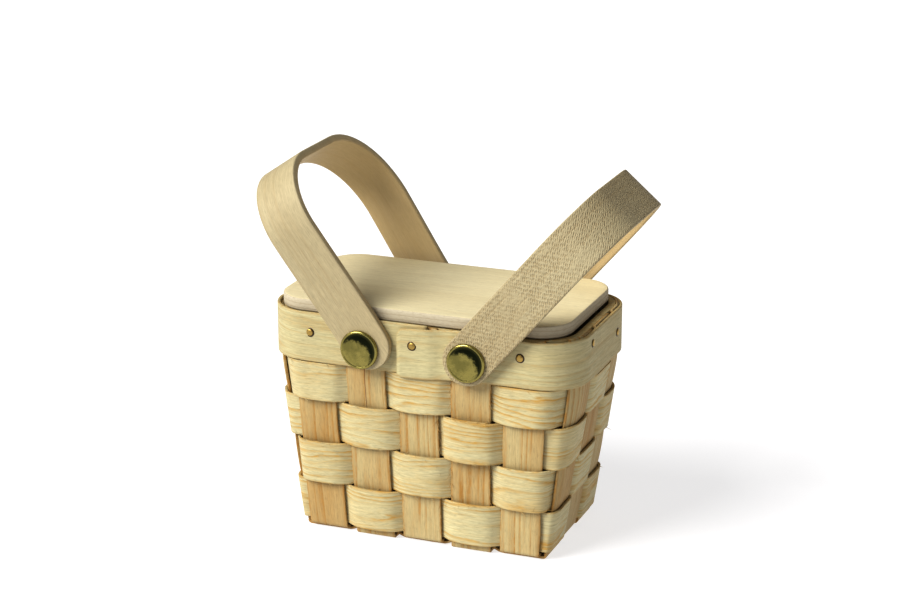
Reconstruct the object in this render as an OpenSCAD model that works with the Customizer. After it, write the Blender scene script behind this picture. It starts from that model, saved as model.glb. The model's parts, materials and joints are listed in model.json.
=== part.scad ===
// Small lidded picnic basket woven from wood splints, with two bentwood swing handles.
// Frame: +X to the basket's right, +Y to its back, +Z up. The origin is on the underside,
// in the middle of the floor, so the basket stands on the plane z = 0.

/* [Basket] */
// Width of the woven wall at the rim, at the middle of the stakes' thickness
rim_w = 97; // [88:0.5:118]
// Depth of the woven wall at the rim
rim_d = 52.4; // [46:0.2:64]
// Corner radius of the wall at the rim
rim_r = 11.8; // [8:0.1:14]
// Width of the woven wall at the floor
base_w = 77.6; // [72:0.2:97]
// Depth of the woven wall at the floor
base_d = 45.2; // [42:0.2:55]
// Corner radius of the wall at the floor
base_r = 2.5; // [1.5:0.1:4]
// Height at which the sloping wall ends and the upright rim starts
rim_z = 56; // [46:0.5:68]

/* [Splints] */
// Width of the upright splints
stake_w = 12.6; // [10.4:0.1:12.8]
// Thickness of every splint
splint_t = 0.85; // [0.7:0.01:1.05]
// Clearance between two splints where they cross
cross_gap = 0.12; // [0.08:0.01:0.2]
// Distance from the outermost front stake's edge to the end wall, at the floor
front_inset = 1.2; // [0.8:0.1:2.5]
// Distance from the outermost end stake's edge to the front wall, at the floor
side_inset = 1.6; // [0.8:0.1:2.5]
// How much wider apart the front stakes stand at the rim
front_fan = 1.3; // [0:0.1:1.8]
// How much wider apart the end stakes stand at the rim
side_fan = 1.6; // [0:0.1:2.2]
// Squareness of the weavers' wave along the front and back: low is an arc, high is a flat top
wave_k = 1.2; // [0.8:0.1:2]
// Squareness of the wave round the ends, where the weavers are pulled tighter
end_wave_k = 4; // [2:0.1:5]
// Squareness of the top weaver's upper edge, which lies flat under the rim
flat_k = 4; // [3:0.1:5]

/* [Rim] */
// Thickness of the rim bands
band_t = 1; // [0.8:0.05:1.3]
// Thickness of the inner rim band, whose top the lid rests on
inner_band_t = 2.4; // [0.8:0.1:2.6]
// Width of the outer rim band
band_w = 15.6; // [13:0.1:18]
// How far the outer band stands above the stakes and the inner band, as the lid's rebate
rebate = 0.8; // [0.4:0.1:1.6]
// Clearance between the stakes and each band
band_gap = 0.05; // [0.03:0.01:0.1]
// How far the outer band's end laps past the middle of the front
lap_left = 5.8; // [4:0.1:6]
// How far its hidden end runs the other way
lap_right = 3.4; // [2:0.1:4]

/* [Handles] */
// Width of the handle strip
handle_w = 15; // [12:0.1:16]
// Thickness of the handle strip
handle_t = 2.3; // [1.8:0.1:3]
// From the rivets' axis to the outer face of the left handle's top
left_reach = 59.6; // [54:0.1:74]
// From the rivets' axis to the outer face of the right handle's top
right_reach = 61.8; // [54:0.1:74]
// Outer radius of each handle's front bend
front_bend = 19.4; // [14:0.1:24]
// Outer radius of each handle's back bend, which is bent less sharply
back_bend = 26; // [20:0.1:32]
// How much further out the legs stand at the bends than at the rivets
handle_splay = 2.2; // [0:0.1:3]
// Gap between a handle's leg and the outer band
handle_gap = 0.35; // [0.3:0.05:0.8]
// Distance from a rivet to the middle of the basket
rivet_x = 17; // [15:0.1:18]
// Distance from a rivet's axis up to the outer band's top edge
rivet_drop = 8.8; // [8:0.1:10]
// Distance of the left handle's rivet holes from its centre line
left_hole_offset = 2.4; // [0:0.1:3]
// Distance of the right handle's rivet holes from its centre line
right_hole_offset = 0.2; // [0:0.1:3]
// How far the left handle leans out from upright
left_lean = 34.4; // [25:0.1:50]
// How far the right handle leans out from upright
right_lean = 40.6; // [25:0.1:50]

/* [Lid] */
// From the middle of the end wall at the rim to the lid board's edge
lid_end_margin = 2.1; // [1.3:0.1:3]
// From the middle of the long wall at the rim to the lid board's edge
lid_side_margin = 0.5; // [0:0.1:1.2]
// Corner radius of the lid board
lid_r = 10; // [7:0.1:12]
// Thickness of the lid board
lid_t = 3.8; // [3:0.1:5]
// Thickness of the locating board under the lid
locator_t = 2; // [1.2:0.1:2.6]
// Clearance between the locating board and the inner band, front and back
locator_gap = 0.5; // [0.3:0.1:1]
// Height of the lid board over the rim it rests on
lid_rest = 0.3; // [0.1:0.05:0.5]
// How far the lid lies to the left of the middle, within its play
lid_shift = 1.2; // [0:0.1:1.5]

/* [Fasteners] */
// Diameter of a rivet's cap
cap_d = 12; // [10:0.1:13]
// Thickness of a rivet's cap at its edge
cap_t = 1.1; // [0.8:0.1:1.6]
// Height of the dome on a rivet's cap
cap_dome = 0.5; // [0.2:0.1:1]
// Diameter of a rivet's shank
shank_d = 3; // [2.4:0.1:3.8]
// Radial clearance round every shank
shank_gap = 0.05; // [0.03:0.01:0.08]
// Diameter of a rivet's washer
washer_d = 8; // [7:0.1:10]
// Thickness of a rivet's washer
washer_t = 0.5; // [0.4:0.1:0.8]
// Diameter of a nail's head
nail_head_d = 2.4; // [2:0.1:3]
// Diameter of a nail's shank
nail_d = 1; // [0.8:0.1:1.3]
// Distance from a nail's axis up to the outer band's top edge
nail_drop = 6.3; // [5:0.1:8]
// Distance between neighbouring nails in the front and the back
front_nail_pitch = 33.6; // [28:0.1:36]
// How far those nails lie to the left of the middle
front_nail_shift = 0.9; // [0:0.1:2]
// Distance between the two nails in each end
end_nail_span = 24; // [18:0.5:27]
// How much higher one of them is than the other
end_nail_stagger = 4; // [0:0.1:5]

/* [Hidden] */
FRONT_STAKES = 5;
SIDE_STAKES = 3;
COLUMNS = 2 * (FRONT_STAKES + SIDE_STAKES);
ROWS = 4;
HANDS = ["left", "right"];

// Share of the stake spacing that lies over half a stake; the rest is the gap
edge_phase = 3 / 8;
// Steps that a weaver's path takes from one stake to the next
wave_steps = 12;
// Points across a stake's width
across = 8;
round_fn = 48;
// Clearance that separates faces which only lie against each other
lay_gap = 0.1;

// Heights, from the floor up
floor_half_gap = splint_t / 2 + cross_gap / 4;
floor_mid = floor_half_gap + splint_t / 2;
floor_top = floor_mid + floor_half_gap + splint_t / 2;
fold_r = splint_t / 2 + 0.5;
row_bottom = floor_top + 0.9;
row_pitch = (rim_z - row_bottom - 0.8) / (ROWS - 0.15);
row_gap = 0.2;
band_top = rim_z + band_w;
stake_top = band_top - rebate;
rivet_z = band_top - rivet_drop;
nail_z = band_top - nail_drop;
lid_z = stake_top + lid_rest;
lid_w = rim_w - 2 * lid_end_margin;
lid_d = rim_d - 2 * lid_side_margin;

// Offsets from the middle of the stakes' thickness at the rim
outer_band_mid = splint_t / 2 + band_gap + band_t / 2;
inner_band_mid = -(splint_t / 2 + band_gap + inner_band_t / 2);
band_face = outer_band_mid + band_t / 2;
band_back = inner_band_mid - inner_band_t / 2;
lap_lift = band_t + band_gap;
lap_ramp = 4;

// Handle faces, as distances from the basket's middle plane
leg_face = rim_d / 2 + band_face + handle_gap;
leg_flat = cap_d / 2 + 1;
leg_back = leg_face + handle_t;

// Height of a wave that clears a stake's edge, for a given squareness
function tanh(x) = (exp(2 * x) - 1) / (exp(2 * x) + 1);
function wave(d, k) = tanh(k * cos(180 * d)) / tanh(k);
function wave_height(k) = (splint_t + cross_gap) / wave(edge_phase, k);

function clamp(x, lo, hi) = min(max(x, lo), hi);
function smooth(x) = let (c = clamp(x, 0, 1)) c * c * (3 - 2 * c);
function mix(a, b, t) = a + (b - a) * t;

// The wall's plan at height z: half its width, half its depth, and its corner radius
function rise(z) = clamp(z / rim_z, 0, 1);
function half_w(z) = mix(base_w, rim_w, rise(z)) / 2;
function half_d(z) = mix(base_d, rim_d, rise(z)) / 2;
function corner_r(z) = mix(base_r, rim_r, rise(z));

// Length of a quarter of the plan's outline, from the middle of the front to the middle of an end
function quarter(z) = half_w(z) + half_d(z) - (2 - PI / 2) * corner_r(z);

// Point and outward normal [x, y, nx, ny] in the first quarter, a distance a from the middle of the front
function quarter_point(a, z) =
    let (r = corner_r(z), run = half_w(z) - r, arc = PI / 2 * r, turn = (a - run) / r * 180 / PI)
    a < run ? [a, -half_d(z), 0, -1]
    : a < run + arc ? [run + r * sin(turn), -(half_d(z) - r) - r * cos(turn), sin(turn), -cos(turn)]
    : [half_w(z), -(half_d(z) - r) + a - run - arc, 1, 0];

// The same at any distance s round the plan, counter-clockwise from the middle of the front
function outline_point(s, z) =
    let (q = quarter(z), t = s - 4 * q * floor(s / (4 * q)), n = min(floor(t / q), 3),
         a = n == 0 ? t : n == 1 ? 2 * q - t : n == 2 ? t - 2 * q : 4 * q - t,
         p = quarter_point(a, z), sx = n < 2 ? 1 : -1, sy = n == 0 || n == 3 ? 1 : -1)
    [sx * p[0], sy * p[1], sx * p[2], sy * p[3]];
function wall_point(s, z, off = 0) =
    let (p = outline_point(s, z)) [p[0] + off * p[2], p[1] + off * p[3], z];

// Spacing of the stakes at height z, and each column's place round the plan.
// Columns count round from the front's left: front, right end, back, left end.
function front_pitch(z) =
    (base_w / 2 - front_inset - stake_w / 2) / ((FRONT_STAKES - 1) / 2) + front_fan * rise(z);
function side_pitch(z) =
    (base_d / 2 - side_inset - stake_w / 2) / ((SIDE_STAKES - 1) / 2) + side_fan * rise(z);
function column_s(c, z) =
    let (q = quarter(z), turn = floor(c / COLUMNS), n = c - COLUMNS * turn,
         half = FRONT_STAKES + SIDE_STAKES, m = n < half ? n : n - half,
         along = m < FRONT_STAKES ? (m - (FRONT_STAKES - 1) / 2) * front_pitch(z)
             : q + (m - FRONT_STAKES - (SIDE_STAKES - 1) / 2) * side_pitch(z))
    4 * q * turn + (n < half ? 0 : 2 * q) + along;

// A sheet of thickness t whose middle is a grid of points: grid[along][across].
// Its outer side is to the right of "along" when "across" points up.
function unit(v) = v / norm(v);
function grid_normal(g, i, j) =
    let (n = len(g) - 1, m = len(g[0]) - 1,
         along = g[min(i + 1, n)][j] - g[max(i - 1, 0)][j],
         over = g[i][min(j + 1, m)] - g[i][max(j - 1, 0)])
    unit(cross(along, over));
module sheet(g, t) {
    n = len(g);
    m = len(g[0]);
    ring = 2 * m;
    points = [for (i = [0 : n - 1]) each concat(
        [for (j = [0 : m - 1]) g[i][j] + grid_normal(g, i, j) * t / 2],
        [for (j = [m - 1 : -1 : 0]) g[i][j] - grid_normal(g, i, j) * t / 2])];
    skin = [for (i = [0 : n - 2], j = [0 : ring - 1])
        let (a = i * ring + j, b = i * ring + (j + 1) % ring, c = b + ring, d = a + ring)
        each [[a, d, c], [a, c, b]]];
    caps = [for (j = [0 : m - 2]) each [
        [j, j + 1, ring - 2 - j], [j, ring - 2 - j, ring - 1 - j],
        let (e = (n - 1) * ring) [e + j, e + ring - 2 - j, e + j + 1],
        let (e = (n - 1) * ring) [e + j, e + ring - 1 - j, e + ring - 2 - j]]];
    polyhedron(points, concat(skin, caps), convexity = 10);
}

// A stake's path down a wall: heights from its top to the fold at the floor
function wall_heights(level) = concat([stake_top], [for (k = [4 : -1 : 1]) rim_z * k / 4], [level + fold_r]);
// Height of a floor strip's middle where it crosses another; "under" is the outer side
function floor_level(under) = floor_mid + (under ? -floor_half_gap : floor_half_gap);
// Points [horizontal, height] of the fold, from the wall's foot inwards
function fold(foot, level) = [for (a = [22.5 : 22.5 : 90])
    [foot - fold_r * (1 - cos(a)), level + fold_r * (1 - sin(a))]];
// Floor path from one fold to the other: flat under or over each crossing strip, with ramps between
function floor_path(count, pitch, parity) = [for (n = [0 : count - 2], end = [0, 1])
    [(n + end - (count - 1) / 2) * pitch + (end == 0 ? 1 : -1) * (stake_w / 2 + lay_gap),
     floor_level((n + end + parity) % 2 == 1)]];

module stake_front_back(i) {
    place = (i - (FRONT_STAKES - 1) / 2) * front_pitch(0);
    level = floor_level(i % 2 == 1);
    last = floor_level((i + SIDE_STAKES - 1) % 2 == 1);
    foot = half_d(level + fold_r);
    widths = [for (j = [0 : across]) (j / across - 0.5) * stake_w];
    back = COLUMNS - SIDE_STAKES - 1 - i;
    grid = concat(
        [for (z = wall_heights(level)) [for (u = widths) wall_point(column_s(i, z) + u, z)]],
        [for (p = fold(foot, level)) [for (u = widths) [place + u, -p[0], p[1]]]],
        [for (p = floor_path(SIDE_STAKES, side_pitch(0), i)) [for (u = widths) [place + u, p[0], p[1]]]],
        [for (n = [3 : -1 : 0]) let (p = fold(foot, last)[n]) [for (u = widths) [place + u, p[0], p[1]]]],
        [for (n = [5 : -1 : 0]) let (z = wall_heights(last)[n])
            [for (u = widths) wall_point(column_s(back, z) - u, z)]]);
    color("burlywood") difference() {
        sheet(grid, splint_t);
        rim_holes();
    }
}

module stake_end_to_end(k) {
    place = (k - (SIDE_STAKES - 1) / 2) * side_pitch(0);
    level = floor_level(k % 2 == 0);
    foot = half_w(level + fold_r);
    widths = [for (j = [0 : across]) (j / across - 0.5) * stake_w];
    right = FRONT_STAKES + k;
    left = COLUMNS - 1 - k;
    grid = concat(
        [for (z = wall_heights(level)) [for (u = widths) wall_point(column_s(right, z) + u, z)]],
        [for (p = fold(foot, level)) [for (u = widths) [p[0], place + u, p[1]]]],
        [for (p = floor_path(FRONT_STAKES, front_pitch(0), k + 1)) [for (u = widths) [-p[0], place + u, p[1]]]],
        [for (n = [3 : -1 : 0]) let (p = fold(foot, level)[n]) [for (u = widths) [-p[0], place + u, p[1]]]],
        [for (n = [5 : -1 : 0]) let (z = wall_heights(level)[n])
            [for (u = widths) wall_point(column_s(left, z) - u, z)]]);
    color("burlywood") difference() {
        sheet(grid, splint_t);
        rim_holes();
    }
}

// A weaver's place round the plan at phase p, where whole phases are the columns' middles
function weaver_s(p, z) =
    let (c = floor(p + 0.5), d = p - c, next = c + sign(d), lie = stake_w / 2 * sign(d))
    abs(d) <= edge_phase ? column_s(c, z) + d / edge_phase * stake_w / 2
    : mix(column_s(c, z) + lie, column_s(next, z) - lie, (abs(d) - edge_phase) / (1 - 2 * edge_phase));
function at_end(c) = let (m = c % (COLUMNS / 2)) m >= FRONT_STAKES;
function weaver_off(p, row, middle_k) =
    let (c = floor(p + 0.5), k = at_end(c) ? max(middle_k, end_wave_k) : middle_k)
    ((c + row) % 2 == 0 ? 1 : -1) * wave_height(k) * wave(p - c, k);

// A weaver goes once round and laps its own start over one stake, at column lap
module weaver(row, lap) {
    low = row_bottom + (ROWS - 1 - row) * row_pitch;
    high = row == 0 ? rim_z - row_gap : low + row_pitch - row_gap;
    grid = [for (n = [0 : COLUMNS * wave_steps + wave_steps / 2 + wave_steps * edge_phase])
        let (p = lap - 0.5 + n / wave_steps,
             lift = (splint_t + lay_gap) * (1 - smooth((p - lap - edge_phase) / (1 - 2 * edge_phase))))
        [wall_point(weaver_s(p, low), low, weaver_off(p, row, wave_k) + lift),
         wall_point(weaver_s(p, high), high, weaver_off(p, row, row == 0 ? flat_k : wave_k) + lift)]];
    color("wheat") sheet(grid, splint_t);
}

// A plate with rounded corners, centred on the origin
module rounded_plate(w, d, r, t) {
    linear_extrude(t) {
        square([w - 2 * r, d], center = true);
        square([w, d - 2 * r], center = true);
        for (sx = [-1, 1], sy = [-1, 1]) translate([sx * (w / 2 - r), sy * (d / 2 - r)]) circle(r, $fn = 2 * round_fn);
    }
}
// The plate that follows the rim at an offset from the stakes' middle
module rim_plate(off, t) {
    rounded_plate(rim_w + 2 * off, rim_d + 2 * off, rim_r + off, t);
}
module rim_ring(mid, h, t) {
    difference() {
        rim_plate(mid + t / 2, h);
        translate([0, 0, -1]) rim_plate(mid - t / 2, h + 2);
    }
}

// The outer band's two ends lap at the front; the visible one ramps out over the hidden one
module rim_band_outer() {
    start = lap_right + lay_gap;
    ramp = [for (n = [0 : 8]) [start + lap_ramp * n / 8, outer_band_mid + lap_lift * (1 - smooth(n / 8))]];
    path = concat([[-lap_left, outer_band_mid + lap_lift]], ramp);
    color("moccasin") difference() {
        translate([0, 0, rim_z]) union() {
            difference() {
                rim_ring(outer_band_mid, band_w, band_t);
                translate([lap_right, -rim_d / 2 - band_face - 1, -1])
                    cube([lay_gap + lap_ramp, band_face - splint_t / 2 + 1, band_w + 2]);
            }
            linear_extrude(band_w) polygon(concat(
                [for (p = path) [p[0], -rim_d / 2 - p[1] - band_t / 2]],
                [for (n = [len(path) - 1 : -1 : 0]) [path[n][0], -rim_d / 2 - path[n][1] + band_t / 2]]));
        }
        rim_holes();
    }
}

// The inner band's two ends meet at the middle of the back
module rim_band_inner() {
    color("moccasin") difference() {
        translate([0, 0, rim_z]) difference() {
            rim_ring(inner_band_mid, stake_top - rim_z, inner_band_t);
            translate([-lay_gap, rim_d / 2 + band_back - 1, -1])
                cube([2 * lay_gap, inner_band_t + 2, stake_top - rim_z + 2]);
        }
        rim_holes();
    }
}

// Nails go through the bands and a stake; each side's are [place round the plan, height]
function front_nails(middle, side) = [for (n = [-1 : 1])
    [middle * quarter(rim_z) + n * front_nail_pitch - side * front_nail_shift, nail_z]];
function end_nails(middle) = [for (n = [-1, 1])
    [middle * quarter(rim_z) + n * end_nail_span / 2, nail_z - n * end_nail_stagger / 2]];
NAILS = [front_nails(0, 1), end_nails(1), front_nails(2, -1), end_nails(3)];
module at_place(place) {
    p = outline_point(place[0], rim_z);
    translate([p[0], p[1], place[1]]) rotate([0, 0, atan2(p[3], p[2])]) rotate([0, 90, 0]) children();
}
module at_rivets(hand, face) {
    side = hand == "left" ? -1 : 1;
    front = face == "front" ? -1 : 1;
    translate([side * rivet_x, front * rim_d / 2, rivet_z]) rotate([-90 * front, 0, 0]) children();
}
// Everything that is drilled through the rim
module rim_holes() {
    reach = max(band_face + lap_lift, -band_back) + 1;
    for (places = NAILS, place = places)
        at_place(place) cylinder(h = 2 * reach, d = nail_d + 2 * shank_gap, center = true, $fn = round_fn);
    for (hand = HANDS, face = ["front", "back"])
        at_rivets(hand, face) cylinder(h = 2 * reach, d = shank_d + 2 * shank_gap, center = true, $fn = round_fn);
}

// A nail with a domed head, its point clinched against the inner band
module nail(lift) {
    head = nail_head_d / 2;
    inside = band_back - lay_gap;
    rotate_extrude($fn = round_fn) polygon(concat(
        [[0, inside - 0.5], [nail_d, inside - 0.4], [nail_d, inside], [nail_d / 2, inside],
         [nail_d / 2, band_face + lift + lay_gap]],
        [for (a = [0 : 15 : 90]) [head * cos(a), band_face + lift + lay_gap + 0.1 + 0.3 * sin(a)]]));
}
module rim_nails(side) {
    color("goldenrod") for (place = NAILS[side])
        at_place(place) nail(abs(place[0]) < lap_right ? lap_lift : 0);
}

// A rivet: domed cap over the handle, shank through the rim, tail spread over its washer
cap_seat = band_face + handle_gap + handle_t + lay_gap;
tail_seat = band_back - washer_t - 2 * lay_gap;
module rivet(hand, face) {
    cap_r = cap_d / 2;
    color("goldenrod") at_rivets(hand, face) rotate_extrude($fn = 2 * round_fn) polygon(concat(
        [[0, tail_seat - 0.7], [shank_d * 0.8, tail_seat - 0.5], [shank_d * 0.8, tail_seat],
         [shank_d / 2, tail_seat], [shank_d / 2, cap_seat], [cap_r - 0.3, cap_seat], [cap_r, cap_seat + 0.3]],
        [for (a = [0 : 15 : 90])
            [cap_r - cap_t * 0.6 * (1 - cos(a)), cap_seat + cap_t * (0.4 + 0.6 * sin(a))]],
        [for (n = [3 : -1 : 0]) let (r = (cap_r - cap_t * 0.6) * n / 4)
            [r, cap_seat + cap_t + cap_dome * (1 - pow(r / cap_r, 2))]]));
}
module washer(hand, face) {
    color("goldenrod") at_rivets(hand, face) translate([0, 0, band_back - lay_gap - washer_t])
        difference() {
            cylinder(h = washer_t, d = washer_d, $fn = round_fn);
            translate([0, 0, -washer_t])
                cylinder(h = 3 * washer_t, d = shank_d + 2 * shank_gap, $fn = round_fn);
        }
}

// The handle's bent strip seen from its end, [y, distance from the rivets' axis], inset from its outer side
function leg_side(reach, bend, inset) =
    let (out = leg_back + handle_splay - bend, top = reach - bend, r = bend - inset)
    concat([[leg_back - inset, -handle_w / 2], [leg_back - inset, leg_flat]],
        [for (a = [0 : 7.5 : 90]) [out + r * cos(a), top + r * sin(a)]]);
function handle_side(reach, inset) =
    let (back = leg_side(reach, back_bend, inset), front = leg_side(reach, front_bend, inset))
    concat(back, [for (n = [len(front) - 1 : -1 : 0]) [-front[n][0], front[n][1]]]);
module handle(side, lean, reach, hole_offset) {
    inner = handle_side(reach, handle_t);
    deep = 2 * (leg_back + handle_splay) + 2;
    color("navajowhite") translate([side * rivet_x, 0, rivet_z]) rotate([0, side * lean, 0]) difference() {
        translate([-side * hole_offset, 0, 0]) intersection() {
            rotate([90, 0, 90]) linear_extrude(handle_w, center = true)
                polygon(concat(handle_side(reach, 0), [for (n = [len(inner) - 1 : -1 : 0]) inner[n]]));
            rotate([90, 0, 0]) linear_extrude(deep, center = true) {
                circle(d = handle_w, $fn = 2 * round_fn);
                translate([-handle_w / 2, 0]) square([handle_w, reach + 1]);
            }
        }
        rotate([90, 0, 0]) cylinder(h = deep, d = shank_d + 2 * shank_gap, center = true, $fn = round_fn);
    }
}
module handle_left() { handle(-1, left_lean, left_reach, left_hole_offset); }
module handle_right() { handle(1, right_lean, right_reach, right_hole_offset); }

module lid_board() {
    color("bisque") translate([-lid_shift, 0, lid_z]) rounded_plate(lid_w, lid_d, lid_r, lid_t);
}
// The board glued under the lid, which keeps it from sliding off the rim
module lid_locating_board() {
    off = band_back - locator_gap;
    color("bisque") translate([-lid_shift, 0, lid_z - locator_t - lay_gap / 2])
        rounded_plate(rim_w + 2 * off - 2 * lid_shift, rim_d + 2 * off, rim_r + off, locator_t);
}

// Column at which each row's weaver laps, counted from the top row down
LAP_COLUMNS = [10, 3, 12, 9];

stake_front_back(0);  // stake_front_back_1
stake_front_back(1);  // stake_front_back_2
stake_front_back(2);  // stake_front_back_3
stake_front_back(3);  // stake_front_back_4
stake_front_back(4);  // stake_front_back_5
stake_end_to_end(0);  // stake_end_to_end_1
stake_end_to_end(1);  // stake_end_to_end_2
stake_end_to_end(2);  // stake_end_to_end_3
weaver(0, LAP_COLUMNS[0]);  // weaver_top
weaver(1, LAP_COLUMNS[1]);  // weaver_upper
weaver(2, LAP_COLUMNS[2]);  // weaver_lower
weaver(3, LAP_COLUMNS[3]);  // weaver_bottom
rim_band_outer();
rim_band_inner();
rim_nails(0);  // rim_nails_front
rim_nails(1);  // rim_nails_right
rim_nails(2);  // rim_nails_back
rim_nails(3);  // rim_nails_left
rivet("left", "front");  // rivet_left_front
rivet("left", "back");  // rivet_left_back
rivet("right", "front");  // rivet_right_front
rivet("right", "back");  // rivet_right_back
washer("left", "front");  // washer_left_front
washer("left", "back");  // washer_left_back
washer("right", "front");  // washer_right_front
washer("right", "back");  // washer_right_back
handle_left();
handle_right();
lid_board();
lid_locating_board();
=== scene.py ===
"""A small picnic basket woven from wood splints, with a board lid and two bentwood handles."""

import json
import math

import bmesh
import bpy
from mathutils import Matrix, Vector, noise

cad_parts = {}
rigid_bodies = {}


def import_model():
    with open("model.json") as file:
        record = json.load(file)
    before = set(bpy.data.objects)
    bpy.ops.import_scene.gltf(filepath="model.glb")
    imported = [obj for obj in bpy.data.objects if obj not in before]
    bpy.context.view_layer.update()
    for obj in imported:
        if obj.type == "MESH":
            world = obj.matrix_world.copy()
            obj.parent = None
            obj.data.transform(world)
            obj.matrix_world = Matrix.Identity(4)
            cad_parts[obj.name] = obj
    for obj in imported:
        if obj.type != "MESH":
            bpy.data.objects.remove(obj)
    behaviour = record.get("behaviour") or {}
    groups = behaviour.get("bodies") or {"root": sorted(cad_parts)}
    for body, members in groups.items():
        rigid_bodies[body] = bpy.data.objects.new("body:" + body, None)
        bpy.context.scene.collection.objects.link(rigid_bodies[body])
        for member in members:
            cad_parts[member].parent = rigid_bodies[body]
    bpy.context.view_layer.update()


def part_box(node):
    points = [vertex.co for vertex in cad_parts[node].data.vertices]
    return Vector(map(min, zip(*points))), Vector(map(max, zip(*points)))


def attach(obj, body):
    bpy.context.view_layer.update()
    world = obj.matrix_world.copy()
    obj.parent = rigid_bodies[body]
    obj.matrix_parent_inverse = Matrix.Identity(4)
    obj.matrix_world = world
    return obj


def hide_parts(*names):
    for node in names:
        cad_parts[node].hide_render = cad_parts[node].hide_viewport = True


bl_info = {
    "name": "Splint Picnic Basket",
    "version": (1, 0, 0),
    "blender": (4, 5, 0),
    "location": "View3D > Sidebar > Basket",
    "description": "Weaves a small lidded picnic basket and sets it in a plain studio",
    "category": "Add Mesh",
}

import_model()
BAND_LOW, BAND_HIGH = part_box("rim_band_outer")
LID_LOW, LID_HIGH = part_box("lid_board")
LOCATOR_LOW, LOCATOR_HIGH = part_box("lid_locating_board")
LEFT_CAP_LOW, LEFT_CAP_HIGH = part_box("rivet_left_front")
PIVOT_Z = (LEFT_CAP_LOW.z + LEFT_CAP_HIGH.z) / 2

MM = 0.001
FRONT_STAKES = 5
SIDE_STAKES = 3
COLUMNS = 2 * (FRONT_STAKES + SIDE_STAKES)
WEAVERS = ["weaver_top", "weaver_upper", "weaver_lower", "weaver_bottom"]
LAP_COLUMNS = [10, 3, 12, 9]  # where each weaver's ends lap, from the top one down
EDGE_PHASE = 3 / 8  # from a stake's middle to its edge, as a share of one column
LOWEST_GAP = 0.9 * MM  # floor to the lowest weaver
HIGHEST_GAP = 0.8 * MM  # top weaver's share of the space under the rim
TALLER_TOP = 0.15  # how much taller the top row is, as a share of a row
ROW_GAP = 0.2 * MM  # between one weaver and the next
FOLD_ANGLES = (18, 36, 54, 72, 90)  # steps of a stake's fold at the floor
STAKE_STEP = 1.1 * MM  # between a stake's stations
FOLD_INSIDE = 0.5 * MM  # inner radius of a stake's fold at the floor
BOW_FROM = 2.2 * MM  # height at which a stake starts to bow
BOW_EASE = 3 * MM  # height over which its bow comes and goes
BAND_STEP = 1.2 * MM  # between a rim band's stations
LAP_SLOPE = 30 * MM  # length over which the lapped end's drop fades out
LAP_CORNER = 1.9 * MM  # corner radius of the lapped end
SANDED = 1.1 * MM  # how much lower the rim's edge is sanded at the right end
SANDED_FROM, SANDED_EASE = 14 * MM, 26 * MM  # where that starts, from the front's middle, and its slope
SANDED_TO, SANDED_FADE = 0.47, 20 * MM  # where it ends, as a share of the way round, and its slope
BAND_BOTTOM_STRAY, BAND_BOTTOM_RUN = 0.18 * MM, 14 * MM
BAND_TOP_STRAY, BAND_TOP_RUN = 0.10 * MM, 18 * MM
TRIM = 0.1 * MM  # hair's breadth that keeps two surfaces apart
FOOT_STEPS = (0, 0.25, 0.9, 2, 3.5, 5.5)  # mm from the tip of a handle's rounded foot
LEG_STEPS = (0, 2.5, 5)  # mm above the rivets
LEG_STATIONS = 14
LEG_BEND = 0.25  # share of a leg's splay that eases in and out
BEND_STEP = 5  # degrees
BRIDGE_STATIONS = 8
FOOT_TIP = 0.35 * MM  # half width of a handle at the tip of its foot
WEAVER_STEPS = 20  # stations of a weaver in each column
ACROSS = 11  # lanes across a strip's face
NARROW_LANE = 0.3 * MM  # extra lane along each edge of a strip's face
ROUND_CUT = 0.29  # how far an eased edge's middle is cut in, as a share of its easing
SPLINT_EASE = 0.14 * MM
BAND_EASE = 0.28 * MM
HANDLE_EASE = 0.32 * MM
INNER_SIDE = -0.3 * MM  # a handle's points below this lie on its inner face
TORN_EDGE = 0.97  # share of a splint's half width past which it sheds fibres
FIBRES_FROM = 4 * MM  # height above which a splint sheds fibres
FIBRE_LENGTH = 2.2 * MM
FIBRE_RADIUS = 0.09 * MM
FIBRE_SPREAD = 0.75  # how far a fibre strays from the grain
STAKE_FIBRES = 2.0e6  # fibres on a square metre of a stake's torn edge
WEAVER_FIBRES = 5.0e5
SPLIT_STAKE = "stake_front_back_2"
SPLIT_FROM, SPLIT_TO = 15 * MM, 29 * MM  # along that stake, from the rim down
WASHER = [(1.56, -0.25), (3.8, -0.25), (4, -0.1), (4, 0.1), (3.8, 0.25), (1.56, 0.25)]  # mm
CAP_SIDES, WASHER_SIDES, NAIL_SIDES = 64, 40, 24
NAIL_TILT = 0.09  # how far the nails lean, as a share of their length
FASTENER_TURN = 6.2832  # most that a fastener is turned about its own axis
FLOOR_REACH = 6.0  # metres from the basket to the floor's edges
KEY_PLACE = (-0.5, -0.58, 0.65)
KEY_COLOUR = (1.0, 0.985, 0.95)
AIR_COLOUR = (1.0, 0.99, 0.98, 1)
GLOW_COLOUR = (1.0, 0.995, 1.0, 1)
# Painted shade: the near-black inside of the open split in one stake
SPLIT_SHADE_COLOUR = (0.13, 0.055, 0.015, 1)
WARM_COLOUR = (0.64, 0.46, 0.22, 1)
# Painted shade: near-black of the flat skirt round each nail's head, standing in for the shaded hole the nail
# is driven into
HOLE_SHADE_COLOUR = (0.05, 0.025, 0.008, 1)


def length(label, what, mm):
    return bpy.props.FloatProperty(
        name=label, description=what, default=mm * MM, unit="LENGTH", subtype="DISTANCE", precision=5
    )


def colour(label, what, rgb):
    return bpy.props.FloatVectorProperty(
        name=label, description=what, default=(*rgb, 1.0), size=4, min=0.0, max=1.0, subtype="COLOR"
    )


def angle(label, what, degrees):
    return bpy.props.FloatProperty(
        name=label, description=what, default=math.radians(degrees), unit="ROTATION", subtype="ANGLE"
    )


def factor(label, what, value):
    return bpy.props.FloatProperty(name=label, description=what, default=value)


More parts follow.
